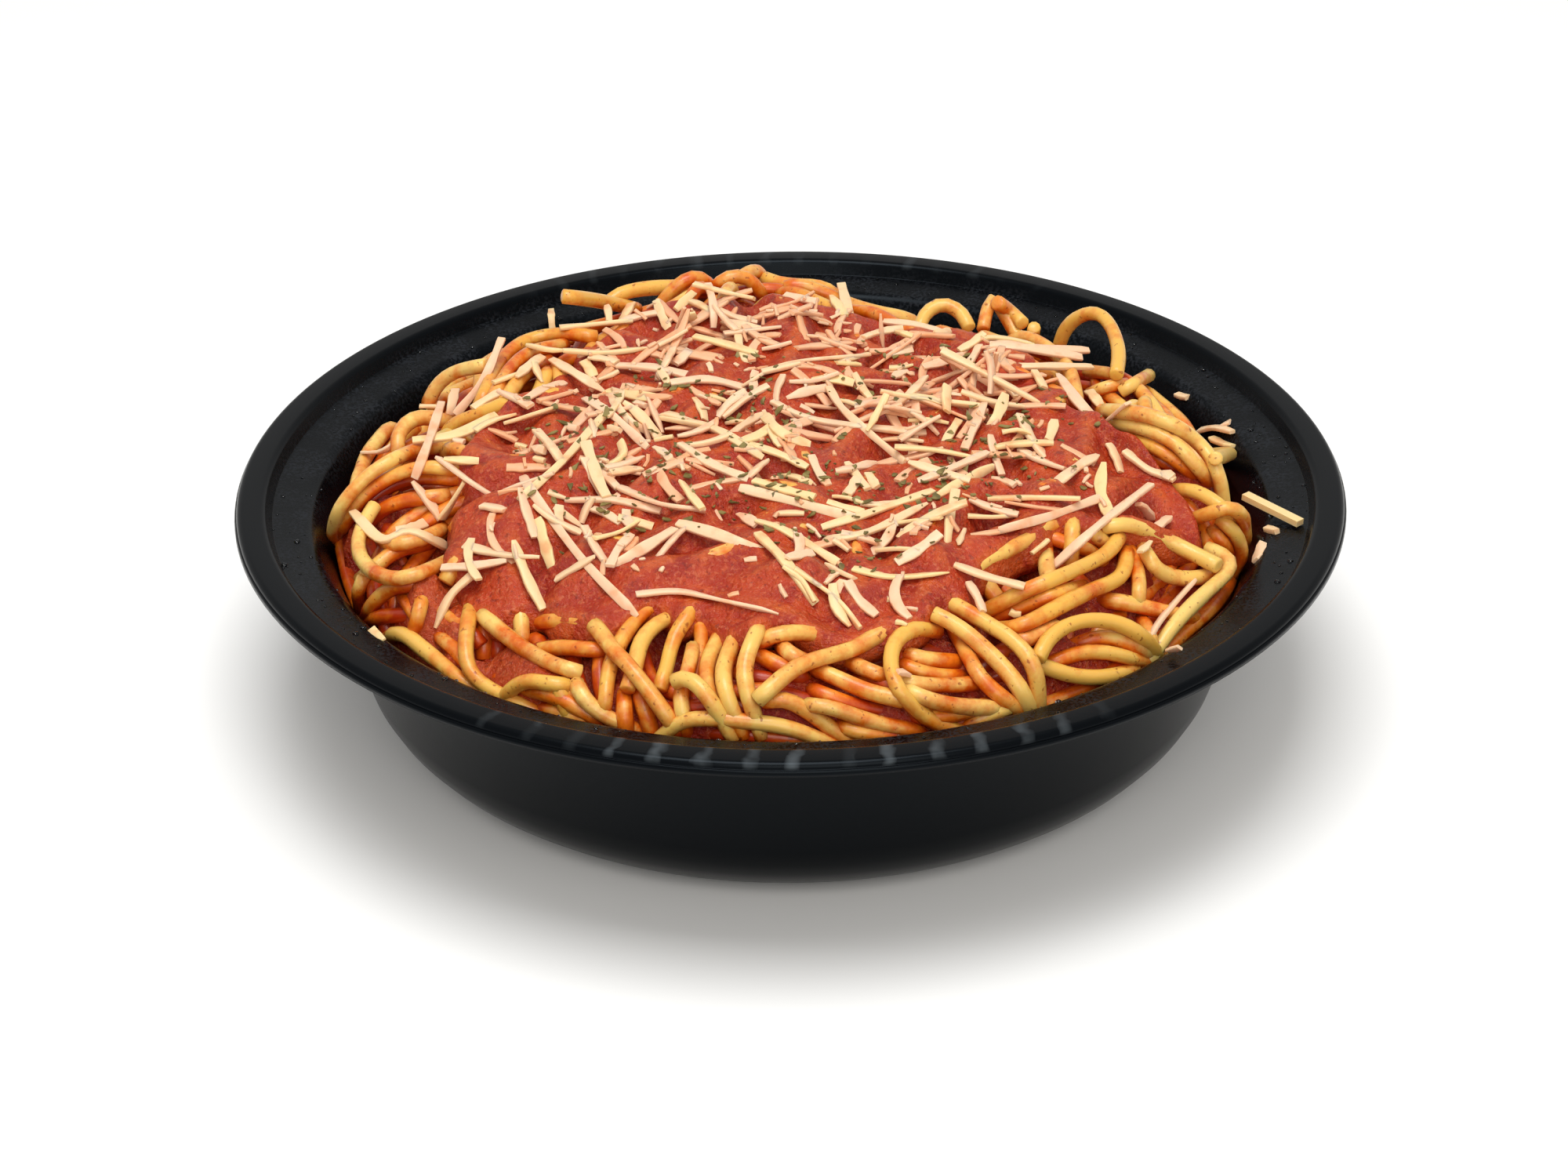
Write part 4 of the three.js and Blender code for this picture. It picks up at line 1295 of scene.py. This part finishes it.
# %% Shreds sunk in the sauce
# The first shreds to fall lie half in the sauce and have taken up its colour.
SUNK_SHREDS = [  # how many, and the middle and the spread of where they fell, in millimetres
    (120, (8, 8), (33, 25)),
    (52, (-14, 48), (30, 11)),
    (30, (-42, 8), (14, 25)),
    (24, (48, 22), (13, 14)),
]


def lay_loose_shred(x, y, heading, length, sink):
    """A stiff shred at a place, on top of what lies there."""
    steps = np.linspace(-length / 2, length / 2, 9)
    bow = rng.normal(0, 0.06) * length * (1 - (2 * steps / length) ** 2)
    px = x + steps * np.cos(heading) - bow * np.sin(heading)
    py = y + steps * np.sin(heading) + bow * np.cos(heading)
    rest = look_up(top_map, px, py) + SHRED_THICKNESS / 2 - sink
    heights = -lowest_line(-rest)
    points = np.column_stack([px, py, heights])
    stamp_shred(points)
    return points


for count, (x0, y0), (spread_x, spread_y) in SUNK_SHREDS:
    for _ in range(count):
        x, y = rng.normal(x0, spread_x), rng.normal(y0, spread_y)
        if math.hypot(x, y) > float(sauce_reach(math.atan2(y, x))) - 5:
            continue
        points = lay_loose_shred(x, y, rng.uniform(0, np.pi), rng.uniform(5, 15), 0.35)
        add_shred(points, 1.8, 0.8, rng.uniform(0.75, 1.0))
print("shreds sunk in the sauce:", len(shred_parts))

# %% The shreds that show
CRUMB = np.array([7, 2])  # half a crumb, in pixels
for pixels in (*BACK_SHREDS, *LEFT_SHREDS, *RIGHT_SHREDS, *MIDDLE_SHREDS, *FRONT_SHREDS):
    add_shred(lay_shred(pixels))
for pixel in CRUMBS:
    add_shred(lay_shred((pixel - CRUMB, pixel + CRUMB)), 1.8, 1.2)
print("shreds so far:", len(shred_parts))

# %% Loose shreds where none is read
MORE_SHREDS = 46
SMALL_BITS = 170
for k in range(MORE_SHREDS + SMALL_BITS):
    azimuth, share = rng.uniform(0, 2 * np.pi), math.sqrt(rng.uniform(0, 0.95))
    radius = share * float(sauce_reach(azimuth)) * 0.97
    x, y = radius * math.cos(azimuth), radius * math.sin(azimuth)
    small = k >= MORE_SHREDS
    length = rng.uniform(1.0, 3.0) if small else rng.uniform(4, 15)
    points = lay_loose_shred(x, y, rng.uniform(0, np.pi), length, 0.2)
    if small:
        add_shred(points, 0.95, 0.65, rng.uniform(0.4, 1.0))
    else:
        add_shred(points, 1.9)
shreds = make_object("mozzarella_shreds", *joined(shred_parts))
deselect_all()
bpy.context.view_layer.objects.active = shreds
shreds.select_set(True)
bpy.ops.object.shade_smooth_by_angle(angle=math.radians(60))
set_attribute(shreds, "tone", np.concatenate(shred_tones))
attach(shreds, "root")
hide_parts("sauce")
print("shreds in all:", len(shred_parts), "with", len(shreds.data.polygons), "faces")

# %% [markdown]
# ## Dried herbs
# A pinch of dried basil and oregano lies mostly on the middle of the sauce. The flakes are crooked
# little leaves, one to three millimetres across, so each is a thin plate with uneven sides that leans
# on what is under it.

# %% Herb flakes
HERB_FLAKES = 560
HERB_REACH = 72.0  # how far from the middle a flake may lie
HERB_SPREAD = 6.5  # how far a flake falls from the middle of its cluster
FLAKE_SIZES = [0.4, 0.65, 0.95, 1.3]
FLAKE_THICKNESS = 0.22
flake_parts = []


def flake_mesh(place, size):
    """A crooked closed plate around a place."""
    sides = int(rng.integers(5, 8))
    turn = 2 * np.pi * (np.arange(sides) + rng.uniform(-0.3, 0.3, sides)) / sides
    reach = size * rng.uniform(0.45, 1.0, sides)
    long_way = rng.uniform(1.0, 1.7)
    flat = np.column_stack([reach * np.cos(turn) * long_way, reach * np.sin(turn) / long_way])
    curl = 0.25 * flat[:, 0] ** 2 / size * rng.uniform(-1, 1)
    upper = np.column_stack([flat, curl + FLAKE_THICKNESS / 2])
    lower = np.column_stack([flat, curl - FLAKE_THICKNESS / 2])
    heading, lean = rng.uniform(0, 2 * np.pi), rng.normal(0, 0.35)
    c, s = math.cos(heading), math.sin(heading)
    turn_matrix = np.array([[c, -s, 0], [s, c, 0], [0, 0, 1]])
    c, s = math.cos(lean), math.sin(lean)
    lean_matrix = np.array([[c, 0, s], [0, 1, 0], [-s, 0, c]])
    points = np.vstack([lower, upper]) @ (turn_matrix @ lean_matrix).T + place
    return points, ring_faces(2, sides)


HERB_PIXELS = [
    (885, 585), (900, 620), (950, 500), (1000, 545), (1045, 590), (1060, 620), (1180, 610),
    (1240, 620), (1230, 560), (930, 660), (1010, 650), (740, 600), (700, 560), (800, 530),
    (860, 480), (1100, 500), (1190, 470), (1300, 600), (1330, 520), (780, 640), (1090, 690),
]
cluster_middles = along_rays(*ray_depths(HERB_PIXELS, top_map))
for _ in range(HERB_FLAKES):
    middle = cluster_middles[rng.integers(len(cluster_middles))]
    x, y = rng.normal(middle[0], HERB_SPREAD), rng.normal(middle[1], HERB_SPREAD)
    if math.hypot(x, y) > HERB_REACH:
        continue
    z = float(look_up(top_map, x, y)) + 0.12
    flake_parts.append(flake_mesh(np.array([x, y, z]), rng.choice(FLAKE_SIZES)))
flakes = make_object("herb_flakes", *joined(flake_parts), smooth=False)
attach(flakes, "root")
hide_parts("sauce")
print("herb flakes:", len(flake_parts))

# %% [markdown]
# ## Steam drops
# Steam from the food settles on the bare plastic above it. The drops are low caps of water, most of
# them on the ledge and a few on the wall under it.

# %% Drops of water
DROPS = 260
DROP_SIDES = 8
DROP_SIZES = [0.2, 0.3, 0.45, 0.7]
DROP_PROFILE = [(0.9, -0.25), (1.0, 0.05), (0.75, 0.38), (0.3, 0.52)]  # radius and height
drop_turn = 2 * np.pi * np.arange(DROP_SIDES) / DROP_SIDES
drop_ring = np.column_stack([np.cos(drop_turn), np.sin(drop_turn), np.zeros(DROP_SIDES)])
drop_parts = []
for _ in range(DROPS):
    azimuth = rng.uniform(0, 2 * np.pi)
    radius = rng.uniform(97.5, 106.8)
    size = rng.choice(DROP_SIZES, p=[0.4, 0.35, 0.2, 0.05])
    height = float(np.interp(radius, wall_inside[:, 0], wall_inside[:, 1]))
    middle = np.array([radius * math.cos(azimuth), radius * math.sin(azimuth), height])
    rings = [middle + size * wide * drop_ring + [0, 0, size * high] for wide, high in DROP_PROFILE]
    drop_parts.append((np.vstack(rings), ring_faces(len(rings), DROP_SIDES)))
drops = make_object("steam_drops", *joined(drop_parts))
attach(drops, "root")
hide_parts("bowl")
print("steam drops:", len(drop_parts))

# %% [markdown]
# ## Materials
# Each material is named for what it is, and its colours are written as they look in the picture.
# Colour goes on in layers, as it does on the food: first the bare colour, then each stain, fleck or
# speck where its pattern says. The coordinates are metres on the object, so a pattern with a scale of
# 1000 / 4 has lumps of about four millimetres.

# %% Material helpers
def fill_inputs(material, node, inputs):
    """Fills a node's inputs: each with a number, a hex colour, or another node's output to link."""
    for key, value in inputs.items():
        if isinstance(value, bpy.types.NodeSocket):
            material.node_tree.links.new(value, node.inputs[key])
        else:
            node.inputs[key].default_value = linear(value) if isinstance(value, str) else value


def add_node(material, kind, inputs, output=0, **settings):
    """Adds one shader node with its settings and links, and gives one of its outputs."""
    node = material.node_tree.nodes.new("ShaderNode" + kind)
    for key, value in settings.items():
        setattr(node, key, value)
    fill_inputs(material, node, inputs)
    return node.outputs[output]


def new_material(name):
    material = bpy.data.materials.new(name)
    material.use_nodes = True
    return material


def finish_material(material, surface):
    """Fills in the shader that the material came with."""
    fill_inputs(material, material.node_tree.nodes["Principled BSDF"], surface)
    print(material.name, "with", len(material.node_tree.nodes), "nodes")
    return material


def lumps(material, size_mm, detail=3.0, roughness=0.5):
    """A pattern on the object with lumps of about one real size, as a number around 0.5."""
    place = add_node(material, "TexCoord", {}, "Object")
    return add_node(material, "TexNoise", {"Vector": place, "Scale": 1 / (size_mm * MM),
                                           "Detail": detail, "Roughness": roughness})


def layered(material, under, pattern, low, high, over, strength=1.0):
    """One colour over another: none of it where the pattern is at `low`, and most at `high`."""
    share = add_node(material, "MapRange", {"Value": pattern, "From Min": low, "From Max": high,
                                            "To Max": strength})
    return add_node(material, "Mix", {0: share, 6: under, 7: over}, 2, data_type="RGBA")


# %% Cooked pasta
# Wheat pasta with a film of oily sauce: translucent, glossy, pale where bare and orange where the
# sauce has stained it, with a few brown specks of spice. Strands low in the heap and their undersides
# get deeper orange and red-brown: partly sauce stain, partly painted shade.
STAIN_LENGTH = 16.0  # millimetres along a strand


def make_pasta():
    material = new_material("cooked_durum_pasta")
    run, tone, stain, depth = (
        add_node(material, "Attribute", {}, "Fac", attribute_name=name)
        for name in ("run", "tone", "stain", "depth")
    )
    along = add_node(material, "CombineXYZ", {"X": run})
    streaks = add_node(material, "TexNoise", {"Vector": along, "Scale": 1 / STAIN_LENGTH,
                                              "Detail": 2.0})
    streaks = add_node(material, "MapRange", {"Value": streaks, "From Min": 0.38, "From Max": 0.62,
                                              "To Min": -0.35, "To Max": 0.35})
    patches = add_node(material, "MapRange", {"Value": lumps(material, 5, 4, 0.65),
                                              "From Min": 0.34, "From Max": 0.66,
                                              "To Min": -0.35, "To Max": 0.45})
    # Stain, patches, streaks and depth add up; depth is partly deeper stain and partly painted shade,
    # low in the heap and underneath.
    stain_and_shade = stain
    for more in (patches, streaks, depth):
        stain_and_shade = add_node(material, "Math", {0: stain_and_shade, 1: more}, operation="ADD")
    bare = layered(material, "#E2AC48", tone, 0, 1, "#E9C46E")
    stained = layered(material, "#DE7612", lumps(material, 3), 0.35, 0.65, "#CB5808")
    colour = layered(material, bare, stain_and_shade, 0.15, 1.0, stained)
    # The darkest red-brown, reached mostly through depth, is partly painted shade.
    colour = layered(material, colour, stain_and_shade, 1.0, 1.8, "#AE3004")
    colour = layered(material, colour, lumps(material, 1.3, 2), 0.66, 0.72, "#8A3208", 0.7)
    return finish_material(material, {
        "Base Color": colour,
        "Roughness": 0.38,
        "IOR": 1.42,
        "Subsurface Weight": 0.25,
        "Subsurface Radius": (1.0, 0.45, 0.12),
        "Subsurface Scale": 1.2 * MM,
        "Coat Weight": 0.22,
        "Coat Roughness": 0.12,
        "Normal": add_node(material, "Bump", {"Height": lumps(material, 1.1), "Strength": 0.4,
                                              "Distance": 0.12 * MM}),
    })


pasta = make_pasta()

# %% Tomato sauce
# Cooked tomato pulp in oil: muted brick red, grainy, with wet highlights, and more orange where the
# film over a strand is thin. Small pale specks and small dark red spots are sprinkled over it.
def make_sauce(name, dark, light):
    material = new_material(name)
    pulp = lumps(material, 2.2, 4, 0.6)
    thin = add_node(material, "Attribute", {}, "Fac", attribute_name="thin")
    colour = layered(material, dark, lumps(material, 8), 0.35, 0.65, light)
    colour = layered(material, colour, pulp, 0.5, 0.68, "#C8541E", 0.55)
    colour = layered(material, colour, thin, 0, 2, "#D0601C")
    colour = layered(material, colour, lumps(material, 0.9, 2), 0.56, 0.66, "#D87C50", 0.35)
    colour = layered(material, colour, lumps(material, 1.4, 2), 0.38, 0.32, "#6A1206", 0.5)
    wet = add_node(material, "MapRange", {"Value": lumps(material, 5), "From Min": 0.4,
                                          "From Max": 0.6, "To Min": 0.38, "To Max": 0.6})
    fine = add_node(material, "Bump", {"Height": lumps(material, 0.8, 4, 0.65), "Strength": 1.0,
                                       "Distance": 0.5 * MM})
    normal = add_node(material, "Bump", {"Height": pulp, "Strength": 1.0, "Distance": 0.9 * MM,
                                         "Normal": fine})
    return finish_material(material, {
        "Base Color": colour,
        "Roughness": wet,
        "IOR": 1.38,
        "Specular IOR Level": 0.4,
        "Subsurface Weight": 0.12,
        "Subsurface Radius": (1.0, 0.25, 0.08),
        "Subsurface Scale": 1.0 * MM,
        "Coat Weight": 0.35,
        "Coat Roughness": 0.07,
        "Coat Normal": normal,
        "Normal": normal,
    })


thick_sauce = make_sauce("thick_tomato_sauce", "#961E08", "#B4380E")
# The core's sauce is darker than the sauce on top: partly the sauce's red, partly painted shade for the
# gaps between strands.
thin_sauce = make_sauce("thin_tomato_sauce", "#8E1604", "#A42A06")

# %% Mozzarella
# Low-moisture mozzarella, half melted: creamy, softly translucent, in slightly different yellows, and
# pink where sauce has soaked in.
def make_cheese():
    material = new_material("low_moisture_mozzarella")
    tone = add_node(material, "Attribute", {}, "Fac", attribute_name="tone")
    colour = layered(material, "#ECCB92", tone, 0.0, 0.5, "#EBC4A2")
    colour = layered(material, colour, tone, 0.5, 1.0, "#E09C6C", 0.8)
    colour = layered(material, colour, lumps(material, 5), 0.54, 0.72, "#E08A50", 0.5)
    return finish_material(material, {
        "Base Color": colour,
        "Roughness": 0.45,
        "IOR": 1.44,
        "Subsurface Weight": 0.45,
        "Subsurface Radius": (1.0, 0.8, 0.5),
        "Subsurface Scale": 1.0 * MM,
        "Normal": add_node(material, "Bump", {"Height": lumps(material, 1.3), "Strength": 0.4,
                                              "Distance": 0.15 * MM}),
    })


cheese = make_cheese()

# %% Dried herbs
# Dried leaves: dull olive green and brown, with no gloss.
def make_herbs():
    material = new_material("dried_basil_and_oregano")
    colour = layered(material, "#5A4E1C", lumps(material, 3), 0.4, 0.6, "#84743C")
    return finish_material(material, {"Base Color": colour, "Roughness": 0.6})


herbs = make_herbs()

# %% Black polypropylene
# Semi-gloss black plastic. Steam has left a fine gritty haze on the ledge. Short pale streaks of
# painted reflection lie across the flat of the rim at the front, and fainter ones at the back.
LEDGE_START = (95.5 * MM, 98.5 * MM)  # radii over which the haze comes in
LEDGE_END = (108.0 * MM, 106.5 * MM)  # radii over which it goes, from the outside in
HAZE_START = (40.0 * MM, 44.5 * MM)  # heights over which it comes in
RIM_FLAT = (48.7 * MM, 49.4 * MM)  # heights over which the painted reflection streaks come in
REFLECTION_REACH = (62.0 * MM, 40.0 * MM)  # how far to each side they go
TO_FRONT = (20.0 * MM, -20.0 * MM)  # over which they grow to their full strength
BACK_STRENGTH = 0.3
REFLECTION_ROUND = 83.0  # waves in a whole turn
REFLECTION_SLANT = 1.2  # radians in each metre outwards
REFLECTION_UNEVEN = 1.5  # radians by which the clouds shift them


def make_plastic():
    material = new_material("black_polypropylene")
    place = add_node(material, "TexCoord", {}, "Object")
    x, y, z = (add_node(material, "SeparateXYZ", {0: place}, axis) for axis in "XYZ")
    flat = add_node(material, "CombineXYZ", {"X": x, "Y": y})
    radius = add_node(material, "VectorMath", {0: flat}, "Value", operation="LENGTH")
    azimuth = add_node(material, "Math", {0: y, 1: x}, operation="ARCTAN2")
    sideways = add_node(material, "Math", {0: x}, operation="ABSOLUTE")
    clouds, grit, past_wall, before_rim, high_up, front, near_middle, on_flat = (
        add_node(material, "MapRange", {"Value": value, "From Min": start, "From Max": end,
                                        "To Min": least})
        for value, (start, end), least in (
            (lumps(material, 9), (0.40, 0.60), 0.15),
            (lumps(material, 0.7, 2), (0.45, 0.62), 0),
            (radius, LEDGE_START, 0),
            (radius, LEDGE_END, 0),
            (z, HAZE_START, 0),
            (y, TO_FRONT, BACK_STRENGTH),
            (sideways, REFLECTION_REACH, 0),
            (z, RIM_FLAT, 0),
        )
    )
    waves = 0.0
    for part, often in (
        (azimuth, REFLECTION_ROUND), (radius, REFLECTION_ROUND * REFLECTION_SLANT), (clouds, REFLECTION_UNEVEN),
    ):
        waves = add_node(material, "Math", {0: part, 1: often, 2: waves}, operation="MULTIPLY_ADD")
    waves = add_node(material, "Math", {0: waves}, operation="SINE")
    haze = 1.0
    for share in (past_wall, before_rim, high_up, grit, clouds):
        haze = add_node(material, "Math", {0: haze, 1: share}, operation="MULTIPLY")
    # Pale streaks of painted reflection across the rim's flat, strongest at the front.
    reflection_streaks = add_node(material, "MapRange", {"Value": waves, "From Min": 0.45, "From Max": 1.0})
    for share in (front, near_middle, on_flat, clouds):
        reflection_streaks = add_node(material, "Math", {0: reflection_streaks, 1: share}, operation="MULTIPLY")
    colour = layered(material, "#030406", haze, 0, 1, "#1E2024")
    colour = layered(material, colour, reflection_streaks, 0, 1, "#585E62", 0.5)
    return finish_material(material, {
        "Base Color": colour,
        "Roughness": add_node(material, "MapRange", {"Value": haze, "To Min": 0.26, "To Max": 0.5}),
        "IOR": 1.49,
        "Specular IOR Level": 0.12,
        "Specular Tint": "#C4D4E0",
        "Normal": add_node(material, "Bump", {"Height": lumps(material, 0.6, 2), "Strength": 0.1,
                                              "Distance": 0.03 * MM}),
    })


plastic = make_plastic()

# %% Water and paper
# Steam is clear water, and the floor is matt white paper.
water = finish_material(new_material("water"), {
    "Base Color": "#D8DCE0",
    "Roughness": 0.05,
    "IOR": 1.33,
    "Transmission Weight": 1.0,
})
paper = finish_material(new_material("white_paper"), {"Base Color": "#F7F7F6", "Roughness": 0.8})

# %% Give every piece its material
stray_shred = bpy.data.objects["stray_cheese_shred"]
for piece, material in (
    (under_strands, pasta), (top_strands, pasta), (core, thin_sauce), (sauce, thick_sauce),
    (shreds, cheese), (stray_shred, cheese), (flakes, herbs), (bowl, plastic), (drops, water),
    (floor, paper),
):
    piece.data.materials.clear()
    piece.data.materials.append(material)
print("materials:", sorted(m.name for m in bpy.data.materials if m.users))
